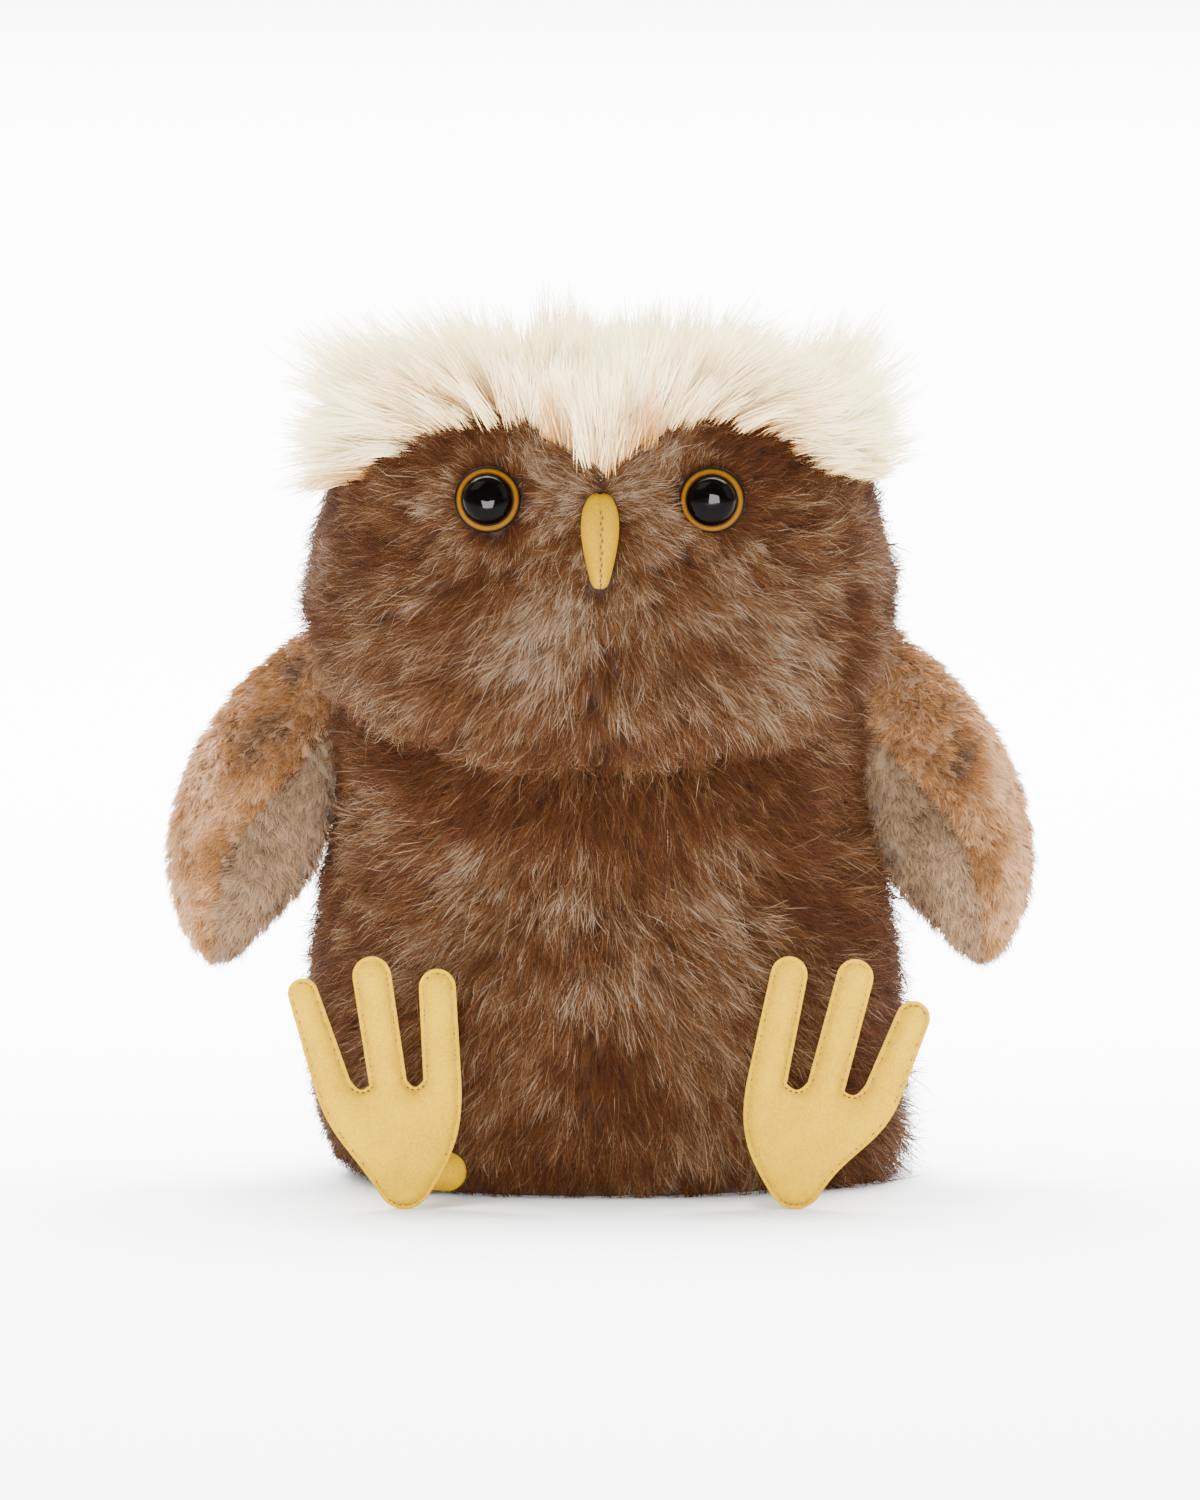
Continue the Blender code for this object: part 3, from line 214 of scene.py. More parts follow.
def head_point(angle, share):
    """A point on the head's outside: share 0 is the neck seam, 1 is the top."""
    angle, share = paired(angle, share)
    wide, front = smooth_table(HEAD_SHARES, share)
    last = HEAD_SHARES[-1][0]
    closing = np.clip((share - last) / (1.0 - last), 0.0, 1.0)
    crown = CROWN_RADIUS / (HEAD_WIDTH / 2)
    wide, front = wide + (crown - wide) * closing, front + (crown - front) * closing
    cos, sin = rounded(angle, HEAD_SQUARENESS)
    deep = np.where(sin < 0, front, wide * HEAD_BACK_SHARE)
    shift = HEAD_FRONT_SHIFT + (CROWN_BACK_SHIFT - HEAD_FRONT_SHIFT) * ease(share)
    x = wide * HEAD_WIDTH / 2 * cos
    y = deep * HEAD_DEPTH / 2 * sin + shift
    rise = NECK_HEIGHT + share * (HEAD_TOP - NECK_HEIGHT)
    return np.stack([x, y, rise + y * np.tan(NECK_TILT * (1.0 - ease(share)))], axis=-1)


def axes(point_at, angle, share):
    """At places on a form: its outward normal, the way round it and the way along it."""
    step = 1e-3
    low, high = np.clip(share - step, 0.0, 1.0), np.clip(share + step, 0.0, 1.0)
    along = unit(point_at(angle, high) - point_at(angle, low))
    around = unit(point_at(angle + step, share) - point_at(angle - step, share))
    return unit(np.cross(around, along)), around, along


def raised(point_at, angle, share, height):
    """Points that stand a height above a form."""
    return point_at(angle, share) + axes(point_at, angle, share)[0] * height


def wing_point(side):
    """The surface of one wing, as a function of an angle round it and a share down it."""
    angle = np.array(WING_ROOT_ANGLE if side > 0 else 2 * QUARTER - WING_ROOT_ANGLE)
    root = raised(torso_point, angle, np.array(WING_ROOT_SHARE), WING_ROOT_STANDOFF)
    mirror = np.array([side, 1.0, 1.0])
    middle, tip = np.array(WING_MIDDLE) * mirror, np.array(WING_TIP) * mirror
    bend = 2.0 * middle - (root + tip) / 2
    facing = np.array([side * math.cos(WING_FACING), -math.sin(WING_FACING), 0.0])

    def point(angle, share):
        angle, share = paired(angle, share)
        t = np.clip(share, 0.0, 1.0)[..., None]
        centre = (1 - t) ** 2 * root + 2 * t * (1 - t) * bend + t**2 * tip
        along = unit(2 * (1 - t) * (bend - root) + 2 * t * (tip - bend))
        normal = unit(facing - along * (along @ facing)[..., None])
        across = np.cross(along, normal)
        chord, thick = smooth_table(WING_SHARES, share)
        return (centre + across * (chord * WING_CHORD / 2 * np.cos(angle))[..., None]
                + normal * (thick * WING_THICKNESS / 2 * np.sin(angle))[..., None])

    return point


def hem_height(x):
    """Height of the crest's hem at a distance from the middle: a V, an arch, a fall."""
    reach = np.abs(x)
    arch = HEM_ARCH_FROM_MIDDLE
    rise = np.sin(QUARTER * np.minimum(reach / arch, 1.0))
    drop = HEM_DROP_AT_MIDDLE + (HEM_DROP_OVER_EYES - HEM_DROP_AT_MIDDLE) * rise
    fall = ease((reach - arch) / (HEAD_WIDTH / 2 - arch))
    return HEAD_TOP - drop - (HEM_DROP_AT_SIDES - HEM_DROP_OVER_EYES) * fall


def face_at(x, z):
    """The face's point at a distance from the middle and a height."""
    angle, share, reach = FRONT, 1 / 2, QUARTER
    for _ in range(40):
        angles = np.linspace(angle - reach, angle + reach, 9)
        shares = np.clip(np.linspace(share - reach / 2, share + reach / 2, 9), 0.0, 1.0)
        grid = head_point(angles[:, None], shares[None, :])
        miss = np.hypot(grid[..., 0] - x, grid[..., 2] - z)
        i, j = np.unravel_index(np.argmin(miss), miss.shape)
        angle, share = angles[i], shares[j]
        reach *= 0.6
    return head_point(angle, share)


# Looks


def paint(code):
    """Scene-linear values of a colour written as six hex digits."""
    parts = [int(code[i:i + 2], 16) / 255 for i in (0, 2, 4)]
    linear = [p / 12.92 if p <= 0.04045 else ((p + 0.055) / 1.055) ** 2.4 for p in parts]
    return (*linear, 1.0)


def new_look(name, **values):
    """A material with its Principled shader's own sockets set, and its node tree."""
    made = bpy.data.materials.new(name)
    made.use_nodes = True
    shader = made.node_tree.nodes["Principled BSDF"]
    for socket, value in values.items():
        shader.inputs[socket.replace("_", " ")].default_value = value
    return made, made.node_tree, shader


def node(tree, kind, values=None, **settings):
    """A node with its settings, and its inputs set or linked."""
    made = tree.nodes.new("ShaderNode" + kind)
    for name, value in settings.items():
        setattr(made, name, value)
    for name, value in (values or {}).items():
        if isinstance(value, bpy.types.NodeSocket):
            tree.links.new(value, made.inputs[name])
        else:
            made.inputs[name].default_value = value
    return made


def ramp(tree, factor, *stops):
    """A colour ramp's colour, from stops of a place and a colour code."""
    made = node(tree, "ValToRGB", {"Fac": factor})
    elements = made.color_ramp.elements
    while len(elements) < len(stops):
        elements.new(0.5)
    for element, (place, code) in zip(elements, stops):
        element.position, element.color = place, paint(code)
    return made.outputs["Color"]


def mixed(tree, factor, first, second, blend="MIX"):
    """Two colours mixed by a factor, from a Mix node's sockets for colours."""
    return node(tree, "Mix", {0: factor, 6: first, 7: second}, data_type="RGBA",
                blend_type=blend, clamp_result=True).outputs[2]


def noise(tree, scale, detail=4.0, roughness=0.6):
    """A noise over the object's own space, in metres."""
    place = node(tree, "TexCoord").outputs["Object"]
    return node(tree, "TexNoise", {"Vector": place, "Scale": scale, "Detail": detail,
                                   "Roughness": roughness}).outputs["Fac"]


def finished(look, colour, height=None, strength=0.0, distance=0.0):
    """A look with its colour, and its relief from a height."""
    made, tree, shader = look
    tree.links.new(colour, shader.inputs["Base Color"])
    if height is not None:
        relief = node(tree, "Bump", {"Height": height, "Strength": strength,
                                     "Distance": distance})
        tree.links.new(relief.outputs["Normal"], shader.inputs["Normal"])
    return made


def pile_look(name, root, body, tip, roughness=0.75):
    """Strands: colour by tone across their map, and along them up their map."""
    look = new_look(name, Roughness=roughness, Specular_IOR_Level=0.10)
    tree = look[1]
    chart = node(tree, "UVMap", uv_map="OFBake").outputs["UV"]
    tone, along = node(tree, "SeparateXYZ", {"Vector": chart}).outputs[:2]
    # The darker root colours are partly the fibres' own colour and partly painted shade deep in the
    # pile; the lighter tips are the fibres' own frosting.
    low = ramp(tree, along, (0.0, "000000"), (0.45, "FFFFFF"))
    high = ramp(tree, along, (0.40, "000000"), (0.95, "FFFFFF"))
    stem = mixed(tree, low, ramp(tree, tone, *root), ramp(tree, tone, *body))
    return finished(look, mixed(tree, high, stem, ramp(tree, tone, *tip)))


def cloth_look(name, dark, light, grain, roughness=0.95, sheen=0.2):
    """Plain backing, filling or thread, and the washers' metal."""
    look = new_look(name, Roughness=roughness, Sheen_Weight=sheen)
    tree = look[1]
    fine = noise(tree, grain)
    base = ramp(tree, noise(tree, grain / 8), (0.35, dark), (0.7, light))
    colour = mixed(tree, 0.25, base, ramp(tree, fine, (0.3, dark), (0.7, light)))
    return finished(look, colour, fine, 0.4, 0.0003)


def plastic_look(name, stops, centre, roughness, specular):
    """Glossy moulded plastic, its colour by distance from the middle of the eye."""
    look = new_look(name, Roughness=roughness, Specular_IOR_Level=specular)
    tree = look[1]
    far = node(tree, "VectorMath", {0: node(tree, "TexCoord").outputs["Object"], 1: centre},
               operation="DISTANCE").outputs["Value"]
    share = node(tree, "Math", {0: far, 1: EYE_COLLAR_RADIUS}, operation="DIVIDE")
    haze = ramp(tree, noise(tree, 900.0, 3.0), (0.3, "000000"), (0.8, "FFFFFF"))
    colour = mixed(tree, 0.12, ramp(tree, share.outputs["Value"], *stops), haze, "OVERLAY")
    return finished(look, colour, noise(tree, 240.0, 2.0), 0.03, 0.0002)


def suede_look(name, dark, middle, light):
    """Brushed suede cloth: fine nap, softly mottled."""
    look = new_look(name, Roughness=0.95, Specular_IOR_Level=0.02)
    tree = look[1]
    wide, nap, grain = noise(tree, 120.0, 5.0), noise(tree, 1500.0, 4.0, 0.7), noise(tree, 4200.0)
    base = ramp(tree, wide, (0.30, dark), (0.5, middle), (0.72, light))
    napped = mixed(tree, 0.55, base, ramp(tree, nap, (0.36, dark), (0.64, light)))
    colour = mixed(tree, 0.40, napped, ramp(tree, grain, (0.3, dark), (0.7, light)))
    height = node(tree, "Math", {0: nap, 1: grain}, operation="ADD").outputs["Value"]
    return finished(look, colour, height, 0.9, 0.00014)


brown_pile = pile_look(
    "brown_pile",
    ((0.0, "180A02"), (0.5, "241305"), (1.0, "302012")),
    ((0.0, "2A1202"), (0.35, "3C1F06"), (0.65, "483018"), (1.0, "5C4A38")),
    ((0.0, "341603"), (0.30, "48280A"), (0.6, "624B34"), (1.0, "8E7A68")))
cream_pile = pile_look(
    "cream_pile",
    ((0.0, "8A5A2A"), (0.08, "C89254"), (0.5, "DDB67C"), (1.0, "ECD6A4")),
    ((0.0, "A87438"), (0.08, "E6C48C"), (0.5, "F2DEAC"), (1.0, "F9ECBE")),
    ((0.0, "C4925A"), (0.08, "F6E2B0"), (0.5, "FCF2CC"), (1.0, "FFFCDC")), 0.6)
tan_pile = pile_look(
    "tan_pile",
    ((0.0, "241A12"), (0.4, "50341C"), (1.0, "7C583A")),
    ((0.0, "302218"), (0.4, "644020"), (0.7, "845832"), (1.0, "A07850")),
    ((0.0, "4C3C30"), (0.4, "7A522A"), (0.7, "9A7048"), (1.0, "C49C7A")))
greige_pile = pile_look(
    "greige_pile",
    ((0.0, "2C2018"), (0.5, "4C3A28"), (1.0, "62492F")),
    ((0.0, "3E2E20"), (0.5, "6A523C"), (1.0, "826850")),
    ((0.0, "544030"), (0.5, "846A50"), (1.0, "A08468")))
brown_backing = cloth_look("brown_backing", "1C0C04", "301608", 900.0, sheen=0.0)
cream_backing = cloth_look("cream_backing", "C9AE88", "E2CDAA", 900.0)
tan_backing = cloth_look("tan_backing", "5A3E26", "86623F", 900.0)
greige_backing = cloth_look("greige_backing", "4A3826", "6E563C", 900.0)
yellow_suede = suede_look("yellow_suede_cloth", "8A6800", "A68200", "C29A00")
beak_suede = suede_look("beak_suede_cloth", "745400", "8C6800", "A47E00")
thread = cloth_look("tan_thread", "2A1A04", "46300C", 5000.0, 0.8, 0.0)


# Meshes


def linked(name, data):
    """A new object in the scene."""
    made = bpy.data.objects.new(name, data)
    bpy.context.scene.collection.objects.link(made)
    return made


def piece(name, mesh, material, body):
    """A mesh as a smooth piece of the owl, riding on a body."""
    mesh.materials.append(material)
    mesh.shade_smooth()
    made = linked(name, mesh)
    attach(made, body)
    return made


def plain_mesh(name, vertices, faces):
    """A mesh from points and faces."""
    mesh = bpy.data.meshes.new(name)
    mesh.from_pydata([tuple(v) for v in vertices], [], faces)
    return mesh


def solid_piece(name, vertices, faces, material, body, slot, crisp=True):
    """A piece from points and the faces round them, which come to face outwards."""
    mesh = plain_mesh(name, vertices, faces)
    shape = bmesh.new()
    shape.from_mesh(mesh)
    bmesh.ops.recalc_face_normals(shape, faces=shape.faces)
    if shape.calc_volume(signed=True) < 0:
        bmesh.ops.reverse_faces(shape, faces=shape.faces)
    shape.to_mesh(mesh)
    shape.free()
    made = piece(name, mesh, material, body)
    if crisp:
        mesh.set_sharp_from_angle(angle=math.radians(50))
    return made


def belt(rings):
    """Faces between successive rings of points, given as rows of their numbers."""
    low, high = rings[:-1], rings[1:]
    return np.stack([low, np.roll(low, -1, 1), np.roll(high, -1, 1), high],
                    axis=-1).reshape(-1, 4).tolist()


def grid_shell(outer, inner):
    """Vertices and faces of a closed sheet between an outer and an inner grid of points."""
    a, b = np.arange(2 * outer[..., 0].size).reshape((2,) + outer.shape[:2])
    sheets = np.stack([[a[:-1, :-1], a[1:, :-1], a[1:, 1:], a[:-1, 1:]],
                       [b[:-1, :-1], b[:-1, 1:], b[1:, 1:], b[1:, :-1]]])
    faces = np.moveaxis(sheets, (0, 1), (2, 3)).reshape(-1, 4).tolist()
    for one, two in ((a, b), (a.T, b.T)):
        rims = [grid[cut][:, [0, -1]] for grid, cut in (
            (one, slice(-1)), (one, slice(1, None)), (two, slice(1, None)), (two, slice(-1)))]
        faces += np.stack(rims, axis=-1).reshape(-1, 4).tolist()
    return np.concatenate([outer.reshape(-1, 3), inner.reshape(-1, 3)]), faces


def closed_rings(rings):
    """Vertices and faces of a solid through closed rings of points, capped at both ends."""
    at = np.arange(rings[..., 0].size).reshape(rings.shape[:2])
    return rings.reshape(-1, 3), belt(at) + [at[0].tolist(), at[-1].tolist()]


def turned(profile, facets, place, direction):
    """Vertices and faces of a solid turned from (radius, height), set on a place.

    It starts and ends on the axis, or is a closed ring where neither end does."""
    pointed = profile[0][0] == 0.0
    radius, height = np.array(profile[1:-1] if pointed else profile).T
    angle = TURN * np.arange(facets) / facets
    points = np.stack(paired(radius[:, None] * np.cos(angle), radius[:, None] * np.sin(angle),
                             height[:, None]), axis=-1).reshape(-1, 3)
    at = np.arange(len(points)).reshape(-1, facets)
    faces = belt(at if pointed else np.concatenate([at, at[:1]]))
    if pointed:
        points = np.concatenate([points, [(0.0, 0.0, profile[k][1]) for k in (0, -1)]])
        for pole, ring in ((at.size, at[0]), (at.size + 1, at[-1][::-1])):
            faces += [(pole, i, k) for i, k in zip(ring.tolist(), np.roll(ring, -1).tolist())]
    turn = Vector((0.0, 0.0, 1.0)).rotation_difference(Vector(direction)).to_matrix()
    return np.array(place) + points @ np.array(turn).T, faces


# The pile: real strands, each a tapered ribbon, in locks that draw together at their tips


def ribbons(name, paths, sides, width, tones, material, body):
    """One piece of tapered ribbons along paths, with a map of tone by way along."""
    count, rows = paths.shape[0], paths.shape[1] - 1
    share = np.arange(rows) / rows
    half = width[:, None] / 2 * (1.0 - 0.55 * share**1.5)[None, :]
    reach = sides[:, None, :] * half[..., None]
    points = np.stack([paths[:, :-1] - reach, paths[:, :-1] + reach], axis=2)
    points = np.concatenate([points.reshape(count, 2 * rows, 3), paths[:, -1:]], axis=1)

    pattern, starts = [], []
    for k in range(rows - 1):
        starts.append(len(pattern))
        pattern += [2 * k, 2 * k + 1, 2 * k + 3, 2 * k + 2]
    starts.append(len(pattern))
    pattern += [2 * rows - 2, 2 * rows - 1, 2 * rows]
    pattern, starts = np.array(pattern), np.array(starts)
    strand = np.arange(count)[:, None]
    corners = (strand * (2 * rows + 1) + pattern).ravel()
    firsts = (strand * len(pattern) + starts).ravel()

    mesh = bpy.data.meshes.new(name)
    mesh.vertices.add(points.shape[0] * points.shape[1])
    mesh.vertices.foreach_set("co", points.astype(np.float32).ravel())
    mesh.loops.add(len(corners))
    mesh.loops.foreach_set("vertex_index", corners.astype(np.int32))
    mesh.polygons.add(len(firsts))
    mesh.polygons.foreach_set("loop_start", firsts.astype(np.int32))
    mesh.update(calc_edges=True)

    up = np.repeat(np.append(share, 1.0), 2)[:-1]
    lean = np.append(np.tile([-0.002, 0.002], rows), 0.0)
    across = np.clip(tones, 0.01, 0.99)[:, None] + lean[pattern][None, :]
    chart = np.stack([across, np.broadcast_to(0.01 + 0.98 * up[pattern], across.shape)], axis=-1)
    layer = mesh.uv_layers.new(name="OFBake")
    layer.uv.foreach_set("vector", chart.astype(np.float32).ravel())
    return piece(name, mesh, material, body)


def scattered(point_at, angles, shares, spacing, rng):
    """Places on a form, about one in each square of the spacing."""
    a, s = np.linspace(*angles, 65), np.linspace(*shares, 65)
    grid = point_at(a[:, None], s[None, :])
    one, two = grid[1:, :-1] - grid[:-1, :-1], grid[:-1, 1:] - grid[:-1, :-1]
    area = np.linalg.norm(np.cross(one, two), axis=-1).ravel()
    count = max(int(area.sum() / spacing**2), 1)
    picked = (np.arange(count) + rng.random(count)) / count
    cell = np.searchsorted(np.cumsum(area) / area.sum(), picked).clip(0, len(area) - 1)
    i, j = np.unravel_index(cell, (64, 64))
    return a[i] + (a[1] - a[0]) * rng.random(count), s[j] + (s[1] - s[0]) * rng.random(count)


def bent_normals(point_at, angle, share, flow, around, along, length):
    """The form's normals where strands of a length end, laid along their flow."""
    step = 1e-3
    per_angle = np.linalg.norm(point_at(angle + step, share) - point_at(angle - step, share),
                               axis=-1) / (2 * step)
    low, high = np.clip(share - step, 0.0, 1.0), np.clip(share + step, 0.0, 1.0)
    per_share = np.linalg.norm(point_at(angle, high) - point_at(angle, low),
                               axis=-1) / (high - low)
    reach = np.asarray(length) * 0.9
    turn = (flow * around).sum(-1) * reach / np.maximum(per_angle, 0.004)
    climb = (flow * along).sum(-1) * reach / np.maximum(per_share, 0.01)
    share = np.clip(share + np.clip(climb, -0.3, 0.3), 0.001, 0.999)
    return axes(point_at, angle + np.clip(turn, -0.7, 0.7), share)[0]


PILE_TOP = 0.2068         # no strand stands higher above the floor


def grow(name, roots, normals, ends, flows, tones, scale, kind, look, body, seed,
         heads=None):
    """Strands in locks: each lock has a root, the form's normal there and where it ends, a
    flow, a tone and a scale. Locks that stand up head for a direction of their own."""
    rng = np.random.default_rng(seed)
    per, rows = kind["per_lock"], kind["rows"]
    count = len(roots) * per

    def own(values):
        return np.repeat(values, per, axis=0)

    lock_turn = own(rng.normal(0.0, kind["lock_turn"], len(roots)))
    lock_lift = own(rng.normal(0.0, kind["lock_lift"], len(roots)))
    lock_size = own(rng.normal(1.0, kind["lock_size"], len(roots)))
    roots, normals, ends, flows, tones, scale = (
        own(v) for v in (roots, normals, ends, flows, tones, scale))
    across = np.cross(normals, flows)
    turn = lock_turn + rng.normal(0.0, kind["turn"], count)
    ways = swung(flows, across, turn)
    reach, turn = kind["spread"] * np.sqrt(rng.random(count)), rng.uniform(0, TURN, count)
    offset = flows * (reach * np.cos(turn))[:, None] + across * (reach * np.sin(turn))[:, None]
    long = kind["length"] * scale * lock_size * rng.normal(1.0, kind["unevenness"], count)
    long = np.where(rng.random(count) < kind["stray_share"], long * kind["stray_length"], long)
    long = np.maximum(long, kind["length"] * 0.15)
    sway = rng.normal(0.0, kind["sway"], count)
    if heads is not None:
        heads = own(unit(heads + rng.normal(0.0, kind["lock_turn"], heads.shape)))
        heads = unit(heads + rng.normal(0.0, kind["turn"], heads.shape))
        start = math.sin(kind["root_lift"])
        starts = unit(normals * start + heads * (1.0 - start) + flows * 0.2)

    paths = np.empty((count, rows + 1, 3))
    paths[:, 0] = roots + offset
    place = np.zeros((count, 3))
    for k in range(rows):
        s = (k + 0.5) / rows
        up = unit(normals * (1.0 - s) + ends * s)
        lift = kind["root_lift"] + (kind["tip_lift"] - kind["root_lift"]) * s**0.7
        lift = lift + lock_lift + rng.normal(0.0, kind["lift"], count) * (0.4 + 0.6 * s)
        bent = sway * s
        way = unit(ways - up * (ways * up).sum(-1, keepdims=True))
        step = swung(swung(way, np.cross(up, way), bent), up, lift)
        if heads is not None:
            blend = (k / (rows - 1)) ** 0.6
            step = unit(starts * (1.0 - blend) + heads * blend)
        place = place + step * (long / rows)[:, None]
        pull = kind["pull"] * ((k + 1) / rows) ** 1.3
        paths[:, k + 1] = roots + offset * (1.0 - pull) + place
    first, rise = paths[:, :1], paths[:, -1, 2] - paths[:, 0, 2]
    room = (PILE_TOP - paths[:, 0, 2]) / np.maximum(rise, 1e-6)
    paths = first + (paths - first) * np.where(rise > 0, np.minimum(room, 1.0), 1.0)[:, None, None]
    paths[..., 2] = np.clip(paths[..., 2], 0.0003, PILE_TOP)
    run = unit(paths[:, -1] - paths[:, 0])
    flat = unit(np.cross(run, normals))
    twist = rng.normal(0.0, kind["twist"], count)
    sides = swung(flat, np.cross(run, flat), twist)
    width = kind["width"] * rng.uniform(0.75, 1.25, count)
    own_tones = tones + rng.normal(0.0, kind["tone"], count)
    own_tones += np.repeat(rng.normal(0.0, kind["lock_tone"], count // per), per)
    return ribbons(name, paths, sides, width, own_tones, look, body)


# Skins: the backing cloth of each fur panel, under the pile

SKIN_INSET = 0.0033      # of the backing's face from the outside of the pile
SKIN_THICKNESS = 0.0007
SEAM_TUCK = 0.00015       # of one panel's edge behind the next
BODY_FABRIC = SKIN_INSET + SKIN_THICKNESS


def skin(name, point_at, angle, share, edges, backing, body, slot):
    """One closed sheet of backing cloth that replaces a fur panel's solid."""
    normal = axes(point_at, angle, share)[0]
    surface = point_at(angle, share)
    layers = [surface - normal * SKIN_INSET, surface - normal * BODY_FABRIC]
    for grid in layers:
        edges(grid)
    made = solid_piece(name + "_skin", *grid_shell(*layers), backing, body, slot)
    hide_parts(name)


def neck_plane(y, lift):
    """Height of the neck seam's plane at a depth, raised a little."""
    return NECK_HEIGHT + lift + y * math.tan(NECK_TILT)


def tuck(grid, angle):
    """Tuck both border columns of a panel a hair past the planes of its seams."""
    middle = (angle[0] + angle[-1]) / 2
    for column in (0, -1):
        if abs(math.cos(angle[column])) < 0.5:
            grid[column, :, 0] = -math.copysign(SEAM_TUCK, math.cos(middle))
        else:
            grid[column, :, 1] -= math.copysign(SEAM_TUCK, math.sin(middle))


def torso_skin(name, start, end, columns):
    """The backing of one torso panel."""
    column = np.linspace(start, end, columns + 1)
    angle, share = np.meshgrid(column, np.linspace(0, 1, 41), indexing="ij")

    def edges(grid):
        grid[:, 0, 2] = 0.0
        grid[:, -1, 2] = neck_plane(grid[:, -1, 1], -GAP / 2)
        tuck(grid, column)

    skin(name, torso_point, angle, share, edges, brown_backing, "torso", "brown_fur")


def head_skin(name, start, rows, backing, slot):
    """The backing of one head panel, whose rows are shares per column."""
    column = np.linspace(start, start + QUARTER, rows.shape[0])

    def edges(grid):
        if rows[0, 0] == 0.0:
            grid[:, 0, 2] = neck_plane(grid[:, 0, 1], GAP / 2)
        tuck(grid, column)

    skin(name, head_point, np.broadcast_to(column[:, None], rows.shape), rows, edges, backing,
         "head", slot)


def hem_share(angle):
    """The share of the head's height at which each column of the face meets the hem."""
    def below(share):
        point = head_point(angle, share)
        return point[..., 2] < hem_height(point[..., 0])

    return halved(np.zeros_like(angle), np.ones_like(angle), below)


torso_skin("torso_front_left", FRONT - QUARTER, FRONT, 28)
torso_skin("torso_front_right", FRONT, FRONT + QUARTER, 28)
torso_skin("torso_back", 0.0, 2 * QUARTER, 56)

MARGIN = GAP / (HEAD_TOP - NECK_HEIGHT)
CLIMB = np.linspace(0.0, 1.0, 29)
for name, start in (("left", FRONT - QUARTER), ("right", FRONT)):
    hem = hem_share(np.linspace(start, start + QUARTER, 29))[:, None]
    head_skin("face_" + name, start, CLIMB * (hem - MARGIN), brown_backing, "brown_fur")
    upper = hem + MARGIN + np.sin(QUARTER * CLIMB) * (1.0 - hem - MARGIN)
    head_skin("crest_" + name, start, upper, cream_backing, "cream_pile")
hem = hem_share(np.array([FRONT + QUARTER]))[0]
rows = np.concatenate([CLIMB * (hem - MARGIN), hem + np.sin(QUARTER * CLIMB[1:]) * (1 - hem)])
for name, start in (("left", QUARTER), ("right", 0.0)):
    head_skin("head_back_" + name, start, np.tile(rows, (29, 1)), brown_backing, "brown_fur")


# The base panel: plain cloth, rounded a little at its rim


def build_base():
    """The cloth that the owl sits on, seen only from below."""
    angle = np.linspace(0.0, TURN, 113)[:-1]
    inset = BODY_FABRIC + GAP
    rings = []
    for height, draw in ((0.0, 0.0009), (0.0002, 0.0003), (0.0008, 0.0), (0.0022, 0.0),
                         (0.0028, 0.0003), (0.003, 0.0009)):
        share = np.full_like(angle, height / NECK_HEIGHT)
        ring = torso_point(angle, share)
        ring = ring - axes(torso_point, angle, share)[0] * (inset + draw)
        ring[:, 2] = height
        rings.append(ring)
    made = solid_piece("base_cloth", *closed_rings(np.array(rings)), brown_backing, "torso",
                       "brown_fur")
    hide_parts("base_panel")


build_base()


# Where the fur lies and how light it is


def photo_place(points):
    """How far right of the middle and how far up a point is, seen from in front."""
    tilt = math.radians(5.0)
    return points[:, 0], points[:, 2] * math.cos(tilt) + points[:, 1] * math.sin(tilt)


BROWN_PATCHES = (  # seen from in front: sideways, up, half width and height in mm, more light
    (-16.5, 156, 7, 7, 0.42), (9, 156, 7, 9, 0.46), (-7.5, 152, 5, 7, 0.36),
    (22.5, 145, 9, 4, 0.34), (-27, 143, 9, 4, 0.26), (-8, 130, 10, 8, 0.26),
    (-13.5, 122, 13, 14, 0.32), (11.5, 129, 11, 12, 0.24), (0, 104, 6, 13, 0.26),
    (-40, 124, 10, 16, 0.2), (37, 112, 8, 10, 0.34), (40, 132, 12, 12, 0.16),
    (-36, 152, 10, 10, 0.22), (30, 140, 12, 8, 0.18), (-16, 73, 20, 10, 0.24),
    (2, 47, 16, 9, 0.5), (-50, 81, 8, 10, 0.26), (26, 77, 14, 4, 0.3), (12, 62, 22, 10, 0.16),
    (-42, 60, 12, 24, 0.16), (30, 30, 14, 12, 0.16), (-22, 30, 14, 14, 0.14),
    (16, 146, 10, 10, 0.26), (0, 163, 12, 8, 0.15), (-4, 140, 14, 9, 0.18),
    (24, 124, 16, 12, 0.14), (-12.5, 144.5, 9, 4, -0.4), (18, 140, 8, 4, -0.3),
    (-25, 167.5, 9, 4, -0.28), (24, 166.5, 9, 4, -0.28), (-32, 128, 8, 6, -0.22),
    (14.5, 124, 9, 4, -0.2), (54, 107, 10, 6, -0.3), (-54, 105, 10, 6, -0.26),
    (40, 72, 18, 10, -0.2), (-56, 70, 10, 20, -0.1), (0, 10, 26, 10, -0.24),
    # painted shade: the next three rows darken the band under the chin where the head overhangs the
    # torso
    (0, 87, 24, 7, -0.5), (-36, 95, 14, 5, -0.34), (34, 95, 14, 5, -0.34),
    (50, 88, 12, 8, -0.28), (18, 118, 10, 7, -0.16), (-24, 140, 10, 8, -0.14),
    (56, 50, 14, 30, -0.16),
)


def patches(points, rows):
    """How much lighter or darker some patches make the pile over points."""
    x, up = photo_place(points)
    total = np.zeros(len(points))
    for row in rows:
        at_x, at_up, wide, tall = (size / 1000 for size in row[:4])
        total += row[4] * bell((x - at_x) / wide) * bell((up - at_up) / tall)
    return total


